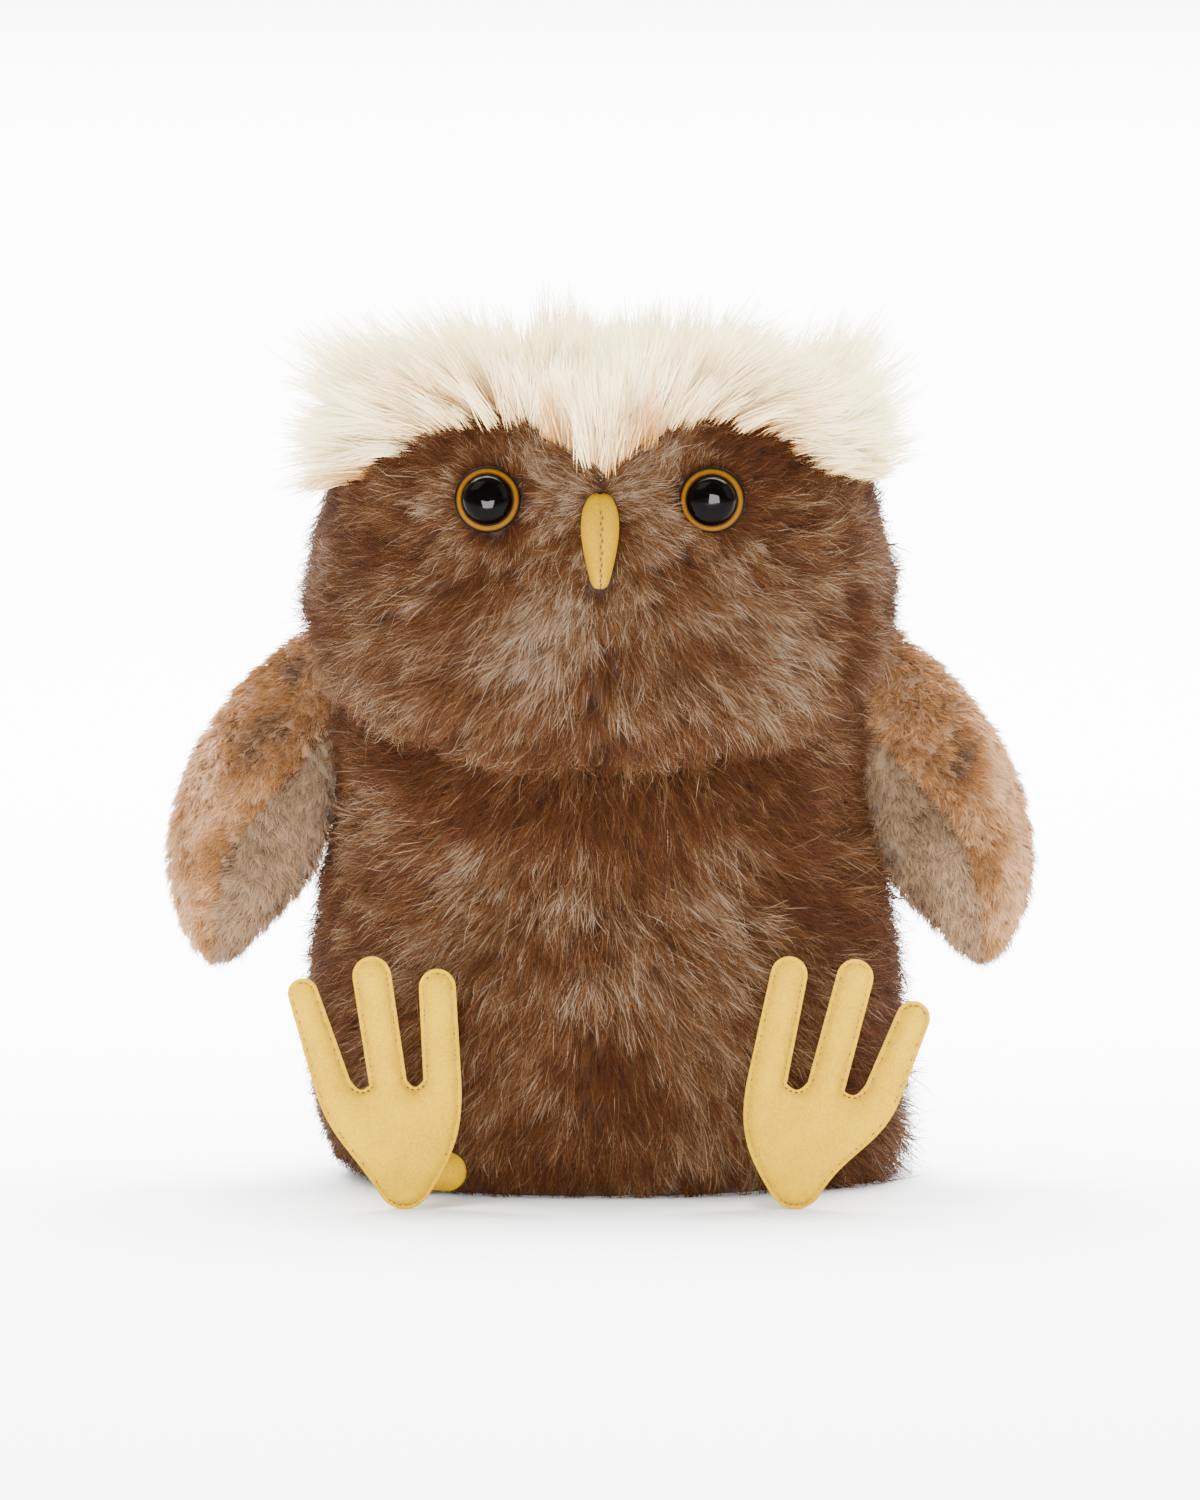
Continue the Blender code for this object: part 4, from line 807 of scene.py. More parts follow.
def brown_tone(points, seed):
    """How frosted the brown fur is over points, from 0, rust, to 1, taupe, less where shade is
    painted.
    """
    x, up = photo_place(points)
    front = ease((-points[:, 1] + 0.005) / 0.03)
    # painted shade: a dark line down the middle seam, under the beak and on down the front
    seam_shade = bell(x / 0.0018) * (up < 0.136)
    tone = patches(points, BROWN_PATCHES) - 0.30 * seam_shade
    return 0.27 + 0.80 * tone * front + 0.11 * drift(points, 0.011, seed) \
        + 0.10 * drift(points, 0.004, seed + 1)


LONG_FUR = dict(
    rows=3, length=0.0104, spread=0.0016, root_lift=math.radians(47), tip_lift=math.radians(-5),
    lock_turn=0.18, lock_lift=0.10, lock_size=0.12, turn=0.20, lift=0.12, unevenness=0.15,
    stray_share=0.01, stray_length=1.25, sway=0.25, pull=0.50, twist=0.7)
FACE_FUR = dict(LONG_FUR, per_lock=26, width=0.00016, tone=0.26, lock_tone=0.06)
CHEST_FUR = dict(LONG_FUR, per_lock=19, width=0.00019, tone=0.24, lock_tone=0.06)
BACK_FUR = dict(LONG_FUR, per_lock=15, width=0.00023, tone=0.20, lock_tone=0.07)
SHORT_FUR = dict(
    rows=2, length=0.0038, spread=0.0012, root_lift=math.radians(58), tip_lift=math.radians(6),
    lock_turn=0.30, lock_lift=0.14, lock_size=0.10, turn=0.35, lift=0.2, unevenness=0.15,
    stray_share=0.02, stray_length=1.2, sway=0.2, pull=0.35, twist=0.9,
    per_lock=14, width=0.00021, tone=0.10, lock_tone=0.05)
CREST_FUR = dict(
    rows=4, length=0.0205, spread=0.0022, root_lift=math.radians(50), tip_lift=0.0,
    lock_turn=0.17, lock_lift=0.0, lock_size=0.17, turn=0.11, lift=0.0, unevenness=0.14,
    stray_share=0.06, stray_length=1.22, sway=0.0, pull=0.76, twist=0.7,
    per_lock=24, width=0.00025, tone=0.12, lock_tone=0.12)
LOCK_SPACING = 0.0023
CREST_SPACING = 0.0026
WING_SPACING = 0.0017


def towards(target, normals):
    """Directions laid into the surface."""
    return unit(target - normals * (target * normals).sum(-1, keepdims=True))


def away_from_front(angle):
    """Which way round leads away from the front, and how far round that is."""
    turn = (angle - FRONT + math.pi) % TURN - math.pi
    return np.sign(turn)[:, None], np.abs(turn)


def torso_fur(name, angles, seed):
    """The long pile of one torso panel."""
    rng = np.random.default_rng(seed)
    angle, share = scattered(torso_point, angles, (0.0, 1.0), LOCK_SPACING, rng)
    surface = torso_point(angle, share)
    normal, around, along = axes(torso_point, angle, share)
    way, reach = away_from_front(angle)
    fall = np.radians(74 - 46 * ease(reach / 1.05) + 52 * ease((reach - 1.6) / 0.9))
    fall += np.radians(12) * bell(surface[:, 0] / 0.004)
    fall = fall + np.radians(10) * (1.0 - ease(share / 0.2)) + 0.10 * drift(surface, 0.02, 5)
    flow = swung(way * around, -along, fall)
    ends = bent_normals(torso_point, angle, share, flow, around, along, LONG_FUR["length"])
    tones = brown_tone(surface, 11)
    x, low = surface[:, 0], 1.0 - ease(surface[:, 2] / 0.040)
    fringe = ease((x - 0.046) / 0.010) * (1.0 - ease((surface[:, 2] - 0.074) / 0.020))
    fringe *= 1.0 - ease((surface[:, 1] - 0.004) / 0.012)
    ends = unit(ends + normal * (1.2 * fringe)[:, None])
    size = 0.50 + 0.50 * ease(share / 0.07)
    gain = np.where(x > 0, 0.60, -0.40 * ease((surface[:, 2] - 0.004) / 0.006))
    size *= 1.0 + low * gain * ease((np.abs(x) - 0.035) / 0.015)
    size = np.maximum(size, 0.62 - 8.0 * surface[:, 2])
    size *= 1.0 + 0.50 * fringe
    beside_wing = bell((surface[:, 2] - 0.101) / 0.010)
    size *= 1.0 + 0.35 * beside_wing * ease((np.abs(x) - 0.050) / 0.008)
    grow(name + "_fur", surface - normal * SKIN_INSET, normal, ends, flow, tones, size,
         CHEST_FUR if "front" in name else BACK_FUR, brown_pile, "torso", seed)


EYES = {name: face_at(side * EYE_FROM_MIDDLE, EYE_HEIGHT) for name, side in SIDES}
BEAK_MIDDLE = 0.158


def near_features(surface):
    """How far places are from the nearer eye and from the beak's edge."""
    eye = np.min([np.linalg.norm(surface - place, axis=-1) for place in EYES.values()], axis=0)
    below = np.maximum(BEAK_TOP - BEAK_LENGTH - surface[:, 2], 0.0)
    above = np.maximum(surface[:, 2] - BEAK_TOP, 0.0)
    beak = np.hypot(np.maximum(np.abs(surface[:, 0]) - 0.003, 0.0), below + above)
    return eye, beak


def face_fur(name, angles, seed):
    """The long pile of one head panel: round the face away from the beak, down the back."""
    rng, back = np.random.default_rng(seed), "back" in name
    spacing = LOCK_SPACING if back else LOCK_SPACING / 2
    angle, share = scattered(head_point, angles, (0.0, 1.0), spacing, rng)
    surface = head_point(angle, share)
    if back:
        kept = share < 0.9993
    else:
        eye, beak = near_features(surface)
        crowd = np.clip(1.0 - (np.minimum(eye - 0.006, beak) - 0.001) / 0.010, 0.0, 1.0)
        kept = rng.random(len(surface)) < 0.25 + 0.65 * crowd
        kept &= (surface[:, 2] < hem_height(surface[:, 0]) + 0.001) & (beak > 0.0002)
        kept &= eye > EYE_COLLAR_RADIUS - 0.0003
    angle, share, surface = angle[kept], share[kept], surface[kept]
    normal, around, along = axes(head_point, angle, share)
    way, reach = away_from_front(angle)
    side_way = reach * HEAD_WIDTH * 0.46
    below = BEAK_MIDDLE - surface[:, 2]
    fall = np.arctan2(below, side_way + 0.35 * np.abs(below) + 0.004) + math.radians(10)
    fall = np.where(fall < 0, fall * (1.0 - ease(reach / 1.4)), fall)
    behind = ease((reach - 1.35) / 0.8)
    fall = fall * (1 - behind) + math.radians(82) * behind + 0.08 * drift(surface, 0.018, 6)
    fall += np.radians(12) * bell(surface[:, 0] / 0.004) * np.sign(below)
    flow = swung(way * around, -along, fall)
    size = np.ones(len(surface))
    tones = brown_tone(surface, 11)
    if not back:
        for place in EYES.values():
            off = surface - place
            far = np.linalg.norm(off, axis=-1)
            push = 1.7 * np.clip(1.0 - (far - 0.007) / 0.013, 0.0, 1.0)
            if place[0] > 0:
                lid = np.clip(-(off[:, 0] + off[:, 2]) / np.maximum(far, 0.001) - 0.9, 0.0, 0.5)
                push = push * (1.0 - 2.0 * lid)
            flow = unit(flow + towards(off, normal) * push[:, None])
        eye, beak = near_features(surface)
        size *= np.clip((eye - 0.0040) / 0.0150, 0.26 + 0.50 * lid, 1.0)
        size *= np.clip((beak + 0.0035) / 0.0120, 0.30, 1.0)
        under_hem = hem_height(surface[:, 0]) - surface[:, 2]
        middle = bell(surface[:, 0] / 0.011)
        tones += (0.40 * middle - 0.16) * bell((under_hem - 0.004) / 0.005)
        # painted shade: the fur right round each eye's collar is darkened where it meets the eye
        tones -= 0.40 * bell((eye - EYE_COLLAR_RADIUS) / 0.0020)
        size *= 0.75 + 0.25 * ease(under_hem / 0.01)
    ends = bent_normals(head_point, angle, share, flow, around, along,
                        LONG_FUR["length"] * size)
    grow(name + "_fur", surface - normal * SKIN_INSET, normal, ends, flow, tones, size,
         BACK_FUR if back else FACE_FUR, brown_pile, "head", seed)


def crest_fur(name, angles, seed):
    """The very long pale pile over one side of the brow, which fans out from the middle."""
    rng = np.random.default_rng(seed)
    angle, share = scattered(head_point, angles, (0.0, 1.0), CREST_SPACING, rng)
    surface = head_point(angle, share)
    over = surface[:, 2] - hem_height(surface[:, 0])
    kept = (over > 0.0) & (share < 0.9993)
    angle, share, surface, over = angle[kept], share[kept], surface[kept], over[kept]
    normal, around, along = axes(head_point, angle, share)
    x, out = surface[:, 0], np.abs(surface[:, 0])
    climb = ease(over / 0.016)
    low = 6 + 92 * ease((out - 0.004) / 0.046)
    high = 46 * np.clip(out / 0.058, 0, 1)
    lean = np.radians(low + (high - low) * climb) + 0.10 * drift(surface, 0.02, 7)
    behind = -0.16 + 0.60 * ease((surface[:, 1] + 0.014) / 0.014)
    way = unit(np.stack([np.sign(x) * np.sin(lean), behind, np.cos(lean)], axis=-1))
    flow = towards(way, normal)
    tones = 0.64 + 0.12 * drift(surface, 0.008, 8) - 0.45 * bell(over / 0.004)
    tones -= 0.25 * bell(over / 0.003) * bell((out - 0.012) / 0.008)
    level = np.clip((way * normal).sum(-1), 0.0, 1.0)
    corner = ease((out - 0.030) / 0.022) * ease((over - 0.008) / 0.008)
    size = (0.72 + 0.28 * ease(over / 0.007)) * (1.0 - 0.22 * level) * (1.0 + 0.60 * corner)
    size *= 1.0 + 0.10 * drift(surface, 0.007, 9)
    size *= 0.70 + 0.30 * ease((-surface[:, 1]) / 0.015)
    size *= 1.0 - 0.35 * bell(out / 0.005) * climb
    grow(name + "_fur", surface - normal * SKIN_INSET, normal, normal, flow, tones, size,
         CREST_FUR, cream_pile, "head", seed, way)


seed = 21
for kind, fur in (("torso_front", torso_fur), ("torso_back", torso_fur), ("face", face_fur),
                  ("head_back", face_fur), ("crest", crest_fur)):
    for name, side in SIDES:
        middle = side * QUARTER / 2 * (-1 if "back" in kind else 1)
        middle += QUARTER if "back" in kind else FRONT
        fur(kind + "_" + name, (middle - QUARTER / 2, middle + QUARTER / 2), seed)
        seed += 1


# Eyes


DOME_SQUARENESS = 2.8     # the eye's dome is a little flat in the middle


def build_eye(name, side):
    """One safety eye: an amber collar and a black dome on its shank."""
    yaw, pitch = (math.radians(turn) for turn in EYE_TURNS[name])
    level = math.cos(pitch)
    aim = Vector((math.sin(yaw) * level, -math.cos(yaw) * level, -math.sin(pitch)))
    seat = Vector(EYES[name]) - aim * EYE_SEAT_DEPTH
    middle = tuple(seat + aim * EYE_COLLAR_THICKNESS)
    hole, edge, top = EYE_SHANK_RADIUS + GAP, EYE_COLLAR_RADIUS, EYE_COLLAR_THICKNESS
    bead = 0.0005
    ring = [(hole, 0.0), (edge - bead, 0.0)]
    for i in range(13):
        turn = math.radians(-80 + 160 * i / 12)
        ring.append((edge - bead * (1.0 - math.cos(turn)), 0.0006 + bead * math.sin(turn)))
    ring += [(0.0062, top), (0.0059, top), (0.0057, top - 0.0003), (hole, top - 0.0003)]
    # The amber turns near black towards the collar's outer edge: painted shade where the ring meets
    # the fur.
    amber = plastic_look("amber_" + name, (
        (0.0, "140A02"), (0.77, "1E1002"), (0.80, "402600"), (0.86, "603C00"), (0.91, "4E3000"),
        (0.935, "241500"), (0.955, "0E0700"), (1.0, "050200")), middle, 0.40, 0.04)
    made = solid_piece("eye_%s_ring" % name, *turned(ring, 96, seat, aim), amber, "head",
                       "amber_plastic")
    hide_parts("eye_%s_collar" % name)

    base = top + 0.0001
    dome = [(0.0, -EYE_SHANK_LENGTH), (EYE_SHANK_RADIUS - 0.0003, -EYE_SHANK_LENGTH),
            (EYE_SHANK_RADIUS, -EYE_SHANK_LENGTH + 0.0003), (EYE_SHANK_RADIUS, base),
            (EYE_DOME_RADIUS - 0.0002, base)]
    for i in range(28):
        out = math.cos(QUARTER * i / 28)
        rise = (1.0 - out**DOME_SQUARENESS) ** (1.0 / DOME_SQUARENESS)
        dome.append((EYE_DOME_RADIUS * out, base + 0.0003 + (EYE_DOME_RISE - 0.0001) * rise))
    dome.append((0.0, base + 0.0002 + EYE_DOME_RISE))
    black = plastic_look("black_" + name, ((0.0, "030303"), (0.7, "030202"), (1.0, "060301")),
                         middle, 0.03, 0.032)
    made = solid_piece("eye_%s_pupil" % name, *turned(dome, 96, seat, aim), black, "head",
                       "black_plastic")
    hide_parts("eye_%s_dome" % name)


for name, side in SIDES:
    build_eye(name, side)


# Suede: the beak, the feet and the legs


def stitches(name, places, runs, normals, length, radius, body):
    """A row of short thread stitches, each a small rounded bar."""
    vertices, faces = [], []
    facets = 6
    profile = ((-0.5, 0.0), (-0.46, 0.55), (-0.32, 0.95), (0.32, 0.95), (0.46, 0.55), (0.5, 0.0))
    for place, run, normal in zip(places, runs, normals):
        side = np.cross(run, normal)
        start = len(vertices)
        vertices.append(place + run * length * profile[0][0])
        for along, wide in profile[1:-1]:
            for i in range(facets):
                turn = TURN * i / facets
                vertices.append(place + run * along * length
                                + (side * math.cos(turn) + normal * math.sin(turn)) * wide * radius)
        vertices.append(place + run * length * profile[-1][0])
        rings, last = len(profile) - 2, len(vertices) - 1
        for i in range(facets):
            k = (i + 1) % facets
            faces.append((start, start + 1 + k, start + 1 + i))
            faces.append((last, last - facets + i, last - facets + k))
            for j in range(rings - 1):
                low, high = start + 1 + j * facets, start + 1 + (j + 1) * facets
                faces.append((low + i, low + k, high + k, high + i))
    piece(name, plain_mesh(name, vertices, faces), thread, body)


PROFILE = head_point(np.full(400, FRONT), np.linspace(0.0, 0.9, 400))


def beak_point(side, t, bow, inset):
    """Points on one half of the beak, down its length and round from its middle seam."""
    t, bow = paired(t, bow)
    down, wide, reach = smooth_table(BEAK_SHARES, t)
    height = BEAK_TOP - BEAK_LENGTH * down - inset * (1.0 - 2.0 * down)
    half = np.maximum(wide * BEAK_WIDTH / 2 - inset, BEAK_WIDTH * 0.06)
    out = np.maximum(reach * BEAK_REACH - inset, -inset)
    across = half * np.sin(QUARTER * bow)
    groove = 0.0003 * bell(across / 0.0005) if inset == 0.0 else 0.0
    face = np.interp(height, PROFILE[:, 2], PROFILE[:, 1])
    return np.stack([side * np.maximum(across, 0.00002),
                     face - out * np.cos(QUARTER * bow) + groove, height], axis=-1)


def build_beak():
    """The beak's two suede halves and the stitches down its middle."""
    ways, bows = np.linspace(0.0, 1.0, 37), np.linspace(0.0, 1.0, 13)[:, None] ** 1.2
    for name, side in SIDES:
        layers = []
        for inset in (0.0, SUEDE * 0.8):
            grid = beak_point(side, ways, bows, inset)
            layers.append(np.concatenate([grid, grid[-1:] + np.array([0.0, 0.0028, 0.0])]))
        made = solid_piece("beak_%s_cover" % name, *grid_shell(*layers), beak_suede, "head",
                           "yellow_suede")
        held = ("beak_stuffing",) if side < 0 else ()
        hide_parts("beak_" + name, *held)
    stitch = np.arange(15)
    t, bow = 0.24 + 0.66 * stitch / 14, 0.03 + 0.05 * (stitch % 2)
    here, after = beak_point(1, t, bow, 0.0), beak_point(1, t + 0.02, bow, 0.0)
    runs = unit(after - here)
    normals = unit(np.cross(runs, np.array([1.0, 0.0, 0.0])))
    stitches("beak_stitches", here + np.array([0.0, -0.00002, 0.0]), runs, normals, 0.0009,
             0.00022, "head")


build_beak()


# Feet


def foot_outline(name, inset):
    """The outline of a foot, seen from the front, some way in from its edge."""
    tips = [Vector(p) * FOOT_HEIGHT for p in TOE_TIPS[name]]
    roots = [Vector(p) * FOOT_HEIGHT for p in TOE_ROOTS[name]]
    arcs, sides = [], []
    widths = zip(TOE_HALF_WIDTHS[name], TOE_ROOT_HALF_WIDTHS[name])
    for tip, root, (tip_half, root_half) in zip(tips, roots, widths):
        along = (tip - root).normalized()
        across = Vector((along.y, -along.x))
        end = tip - along * tip_half
        root_half, radius = root_half - inset, tip_half - inset
        sides.append((root - across * root_half, root + across * root_half))
        arcs.append([end - across * radius * math.cos(turn) + along * radius * math.sin(turn)
                     for turn in np.linspace(0.0, math.pi, 15)])
    outline = []
    for i, arc in enumerate(arcs):
        outline += [sides[i][0].lerp(arc[0], k / 14) for k in range(14)]
        outline += arc
        outline += [arc[-1].lerp(sides[i][1], k / 14) for k in range(1, 15)]
        if i + 1 < len(arcs):
            for k in range(1, 8):
                sag = Vector((0.0, -CROTCH_DEPTH * math.sin(math.pi * k / 8) - inset / 2))
                outline.append(sides[i][1].lerp(sides[i + 1][0], k / 8) + sag)
    heel, radius = Vector((0.0, HEEL_RADIUS)), HEEL_RADIUS - inset
    heel_arc = [heel + Vector((math.sin(turn), -math.cos(turn))) * radius
                for turn in np.linspace(HEEL_HALF_ARC, -HEEL_HALF_ARC, 17)]
    right = side_curve(sides[-1][1], roots[-1] - tips[-1], heel_arc[0], heel_arc[0] - heel_arc[1])
    left = side_curve(sides[0][0], roots[0] - tips[0], heel_arc[-1], heel_arc[-1] - heel_arc[-2])
    return outline + right + heel_arc + left[::-1]


def side_curve(start, start_run, end, end_run):
    """Points along the palm's side, between a toe's root and the heel's arc."""
    reach = (end - start).length * SIDE_BOW_SHARE
    first, second = start + start_run.normalized() * reach, end + end_run.normalized() * reach
    return [(1 - t) ** 3 * start + 3 * t * (1 - t) ** 2 * first + 3 * t**2 * (1 - t) * second
            + t**3 * end for t in np.linspace(0.0, 1.0, 26)[1:-1]]


def outline_distance(points, outline):
    """How far points lie from an outline."""
    start = np.array([tuple(p) for p in outline])
    run = np.roll(start, -1, axis=0) - start
    off = points[:, None, :] - start[None]
    share = np.clip((off * run).sum(-1) / (run * run).sum(-1), 0.0, 1.0)
    return np.linalg.norm(off - run * share[..., None], axis=-1).min(axis=1)


def foot_sheet(name):
    """Points and triangles filling a foot's outline, and each point's way from the edge."""
    outline = foot_outline(name, 0.0)
    flat = np.array([tuple(p) for p in outline])
    pitch = 0.00060
    x, y = np.meshgrid(np.arange(flat[:, 0].min(), flat[:, 0].max(), pitch),
                       np.arange(0.0, flat[:, 1].max(), pitch * 0.866))
    x = x + (np.arange(x.shape[0]) % 2)[:, None] * pitch / 2
    inner = np.stack([x.ravel(), y.ravel()], axis=1)
    inside = np.zeros(len(inner), bool)
    for a, b in zip(flat, np.roll(flat, -1, axis=0)):
        crosses = (a[1] > inner[:, 1]) != (b[1] > inner[:, 1])
        level = b[1] - a[1] if b[1] != a[1] else 1.0
        inside ^= crosses & (inner[:, 0] < a[0] + (inner[:, 1] - a[1]) / level * (b[0] - a[0]))
    inner = inner[inside]
    inner = inner[outline_distance(inner, outline) > pitch * 0.55]
    count = len(outline)
    border = [(i, (i + 1) % count) for i in range(count)]
    points, _, faces, *_ = delaunay_2d_cdt(
        outline + [Vector(p) for p in inner], border, [list(range(count))], 1, 0.000002)
    points = np.array([tuple(p) for p in points])
    depth = outline_distance(points, outline)
    depth[:count] = 0.0
    return points, [tuple(f) for f in faces], depth, border


SEAM_ALLOWANCE = 0.0010   # from the raw edge to the stitches
EDGE_THICKNESS = 0.0005   # of one layer of suede at its raw edge


def puff(depth):
    """How far the suede's outside stands from the foot's middle plane."""
    rise = np.clip((depth - SEAM_ALLOWANCE) / FOOT_SWELL_WIDTH, 0.0, 1.0)
    full = FOOT_SWELL + SUEDE - EDGE_THICKNESS
    groove = 0.00022 * bell((depth - SEAM_ALLOWANCE) / 0.0003)
    return GAP / 2 + EDGE_THICKNESS + full * np.sqrt(1.0 - (1.0 - rise) ** 2) - groove


def build_foot(name, side):
    """One foot: two suede panels sewn a little in from their edge."""
    points, faces, depth, border = foot_sheet(name)
    count, body = len(points), "foot_" + name
    x = side * FOOT_FROM_MIDDLE + points[:, 0]
    place = np.stack([x, np.full(count, FOOT_MIDDLE), points[:, 1]], axis=1)
    dimple = 0.00010 * drift(place, 0.004, 41) * ease(depth / 0.004)
    roots = np.array(TOE_ROOTS[name]) * FOOT_HEIGHT
    for crotch in (roots[1:] + roots[:-1]) / 2:
        off = points - crotch
        far = np.linalg.norm(off, axis=1)
        seam_shade = np.cos(9.0 * np.arctan2(off[:, 1], off[:, 0]) + 0.8)
        dimple += 0.00016 * seam_shade * bell((far - 0.0045) / 0.0028) * ease(depth / 0.003)
    out = puff(depth) + dimple
    for part, way in (("front", -1.0), ("back", 1.0)):
        outer, inner = place.copy(), place.copy()
        outer[:, 1] += way * out
        inner[:, 1] += way * np.maximum(out - EDGE_THICKNESS, GAP / 2)
        all_faces = list(faces) + [tuple(count + i for i in reversed(f)) for f in faces]
        all_faces += [(a, b, count + b, count + a) for a, b in border]
        made = solid_piece("foot_%s_%s_cover" % (name, part), np.concatenate([outer, inner]),
                           all_faces, yellow_suede, body, "yellow_suede")
        held = ("foot_%s_stuffing" % name,) if part == "front" else ()
        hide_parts("foot_%s_%s" % (name, part), *held)

    line = np.array([tuple(p) for p in foot_outline(name, SEAM_ALLOWANCE)])
    steps = np.linalg.norm(np.diff(line, axis=0, append=line[:1]), axis=1)
    run = np.concatenate([[0.0], np.cumsum(steps)])
    closed = np.concatenate([line, line[:1]])
    total = int(run[-1] / 0.00125)
    at = (np.arange(total) + 0.5) * run[-1] / total
    here = np.stack([np.interp(at, run, closed[:, k]) for k in (0, 1)], axis=1)
    after = np.stack([np.interp((at + 0.0002) % run[-1], run, closed[:, k]) for k in (0, 1)],
                     axis=1)
    way = unit(after - here)
    for part, facing in (("front", -1.0), ("back", 1.0)):
        stand = facing * (GAP / 2 + EDGE_THICKNESS - 0.00004)
        places = np.stack([side * FOOT_FROM_MIDDLE + here[:, 0],
                           np.full(total, FOOT_MIDDLE + stand), here[:, 1]], axis=1)
        runs = np.stack([way[:, 0], np.zeros(total), way[:, 1]], axis=1)
        normals = np.tile([0.0, facing, 0.0], (total, 1))
        stitches("foot_%s_%s_stitches" % (name, part), places, runs, normals, 0.00075, 0.00019,
                 body)


for name, side in SIDES:
    build_foot(name, side)


# Legs


def leg_ends(name, side):
    """The centres of a leg's round ends, against the torso and against the foot."""
    share = np.array(LEG_HEIGHT / NECK_HEIGHT)
    angle = halved(FRONT, FRONT + QUARTER,
                   lambda at: torso_point(at, share)[0] < LEG_ROOT_FROM_MIDDLE[name])
    root = raised(torso_point, angle, share, LEG_RADIUS + SEAT_EASE)
    foot_back = FOOT_MIDDLE + GAP / 2 + FOOT_SWELL + SUEDE
    end = np.array([LEG_END_FROM_MIDDLE[name], foot_back + GAP + LEG_RADIUS, LEG_HEIGHT])
    mirror = np.array([side, 1.0, 1.0])
    return Vector(root * mirror), Vector(end * mirror)


def build_leg(name, side):
    """One short suede leg, creased a little where it bends."""
    root, end = leg_ends(name, side)
    length = (end - root).length
    profile = [(0.0, -LEG_RADIUS)]
    for i in range(1, 13):
        turn = QUARTER * i / 12
        profile.append((LEG_RADIUS * math.sin(turn), -LEG_RADIUS * math.cos(turn)))
    for i in range(1, 12):
        share = i / 12
        seam_shade = 0.00018 * math.sin(share * 5 * math.pi) ** 2
        profile.append((LEG_RADIUS - seam_shade, length * share))
    for i in range(13):
        turn = QUARTER * i / 12
        profile.append((LEG_RADIUS * math.cos(turn), length + LEG_RADIUS * math.sin(turn)))
    profile[-1] = (0.0, length + LEG_RADIUS)
    made = solid_piece("leg_%s_sleeve" % name, *turned(profile, 48, root, end - root),
                       yellow_suede, "leg_" + name, "yellow_suede")
    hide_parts("leg_%s_cover" % name, "leg_%s_stuffing" % name)


for name, side in SIDES:
    build_leg(name, side)


# Wings

WING_INSET, WING_CLOTH, WING_SWELL = 0.0019, 0.0007, 0.0040


def in_torso(points, ease_out):
    """Which points lie inside the torso's outside, eased out a little."""
    x, y, z = points[:, 0], points[:, 1], points[:, 2]
    share = z / NECK_HEIGHT
    for _ in range(6):
        share = (z - y * np.tan(torso_tilt(share))) / NECK_HEIGHT
    wide = smooth_table(TORSO_SHARES, np.clip(share, 0, 1))[0]
    a, b = wide * TORSO_WIDTH / 2 + ease_out, wide * TORSO_DEPTH / 2 + ease_out
    power = TORSO_SQUARENESS
    level = (np.abs(x) / a) ** power + (np.abs(y - TORSO_BACK_SHIFT) / b) ** power
    return (level < 1.0) & (share > 0.0) & (share < 1.0)


def torso_form():
    """The torso's outside as a closed form, to trim the wings by."""
    angle, share = paired(np.linspace(0.0, TURN, 97)[:-1], np.linspace(0.0, 1.0, 31)[:, None])
    rings = raised(torso_point, angle, share, SEAT_EASE)
    return linked("torso_form", plain_mesh("torso_form", *closed_rings(rings)))


def trimmed(made, form):
    """Take a form's space out of a piece."""
    trim = made.modifiers.new("trim", "BOOLEAN")
    trim.operation, trim.solver, trim.object = "DIFFERENCE", "EXACT", form
    graph = bpy.context.evaluated_depsgraph_get()
    graph.update()
    mesh = bpy.data.meshes.new_from_object(made.evaluated_get(graph))
    made.modifiers.clear()
    made.data = mesh


MOTTLES_AND_SHADOW = (  # dark patches on the wings, as in BROWN_PATCHES
    # painted shadow: the row at -60, 88 darkens the pocket where the left wing parts from the body
    (-70, 117, 5, 4, -0.34), (-80, 99, 6, 7, -0.5), (-60, 88, 3.5, 6, -0.8),
    (82, 96, 6, 7, -0.5), (-72, 104, 5, 5, -0.25), (76, 108, 7, 5, -0.22),
    (-83, 72, 5, 6, -0.18), (90, 78, 6, 6, -0.2),
)


def wing_tone(points, seed, outwards):
    """How light the wing's pile is: tan, with a few dark mottles and a painted shadow."""
    tone = patches(points, MOTTLES_AND_SHADOW) + 0.55
    tone += 0.10 * drift(points, 0.010, seed) + 0.08 * drift(points, 0.004, seed + 1)
    return tone + 0.40 * ease((outwards - 0.15) / 0.75)


def wing_arcs(side, share):
    """Where each panel of a wing starts and ends round it, at some shares of the way down."""
    way = (share - WING_SEAM_START) / WING_SEAM_LENGTH
    turn = WING_SEAM_TURN * ease(way)
    zero = np.zeros_like(turn)
    start, end = (turn, zero + math.pi) if side > 0 else (zero, math.pi - turn)
    return {"outer": (start, end), "lining": (end, start + TURN)}


def wing_inset(side, normal, share):
    """How far in the skin lies: the wing swells towards the body that it hugs."""
    near = ease((-side * normal[..., 0] - 0.2) / 0.7)
    swell = ease(share / 0.14) * (1.0 - ease((share - 0.66) / 0.28))
    return (WING_INSET - WING_SWELL * near * swell)[..., None]


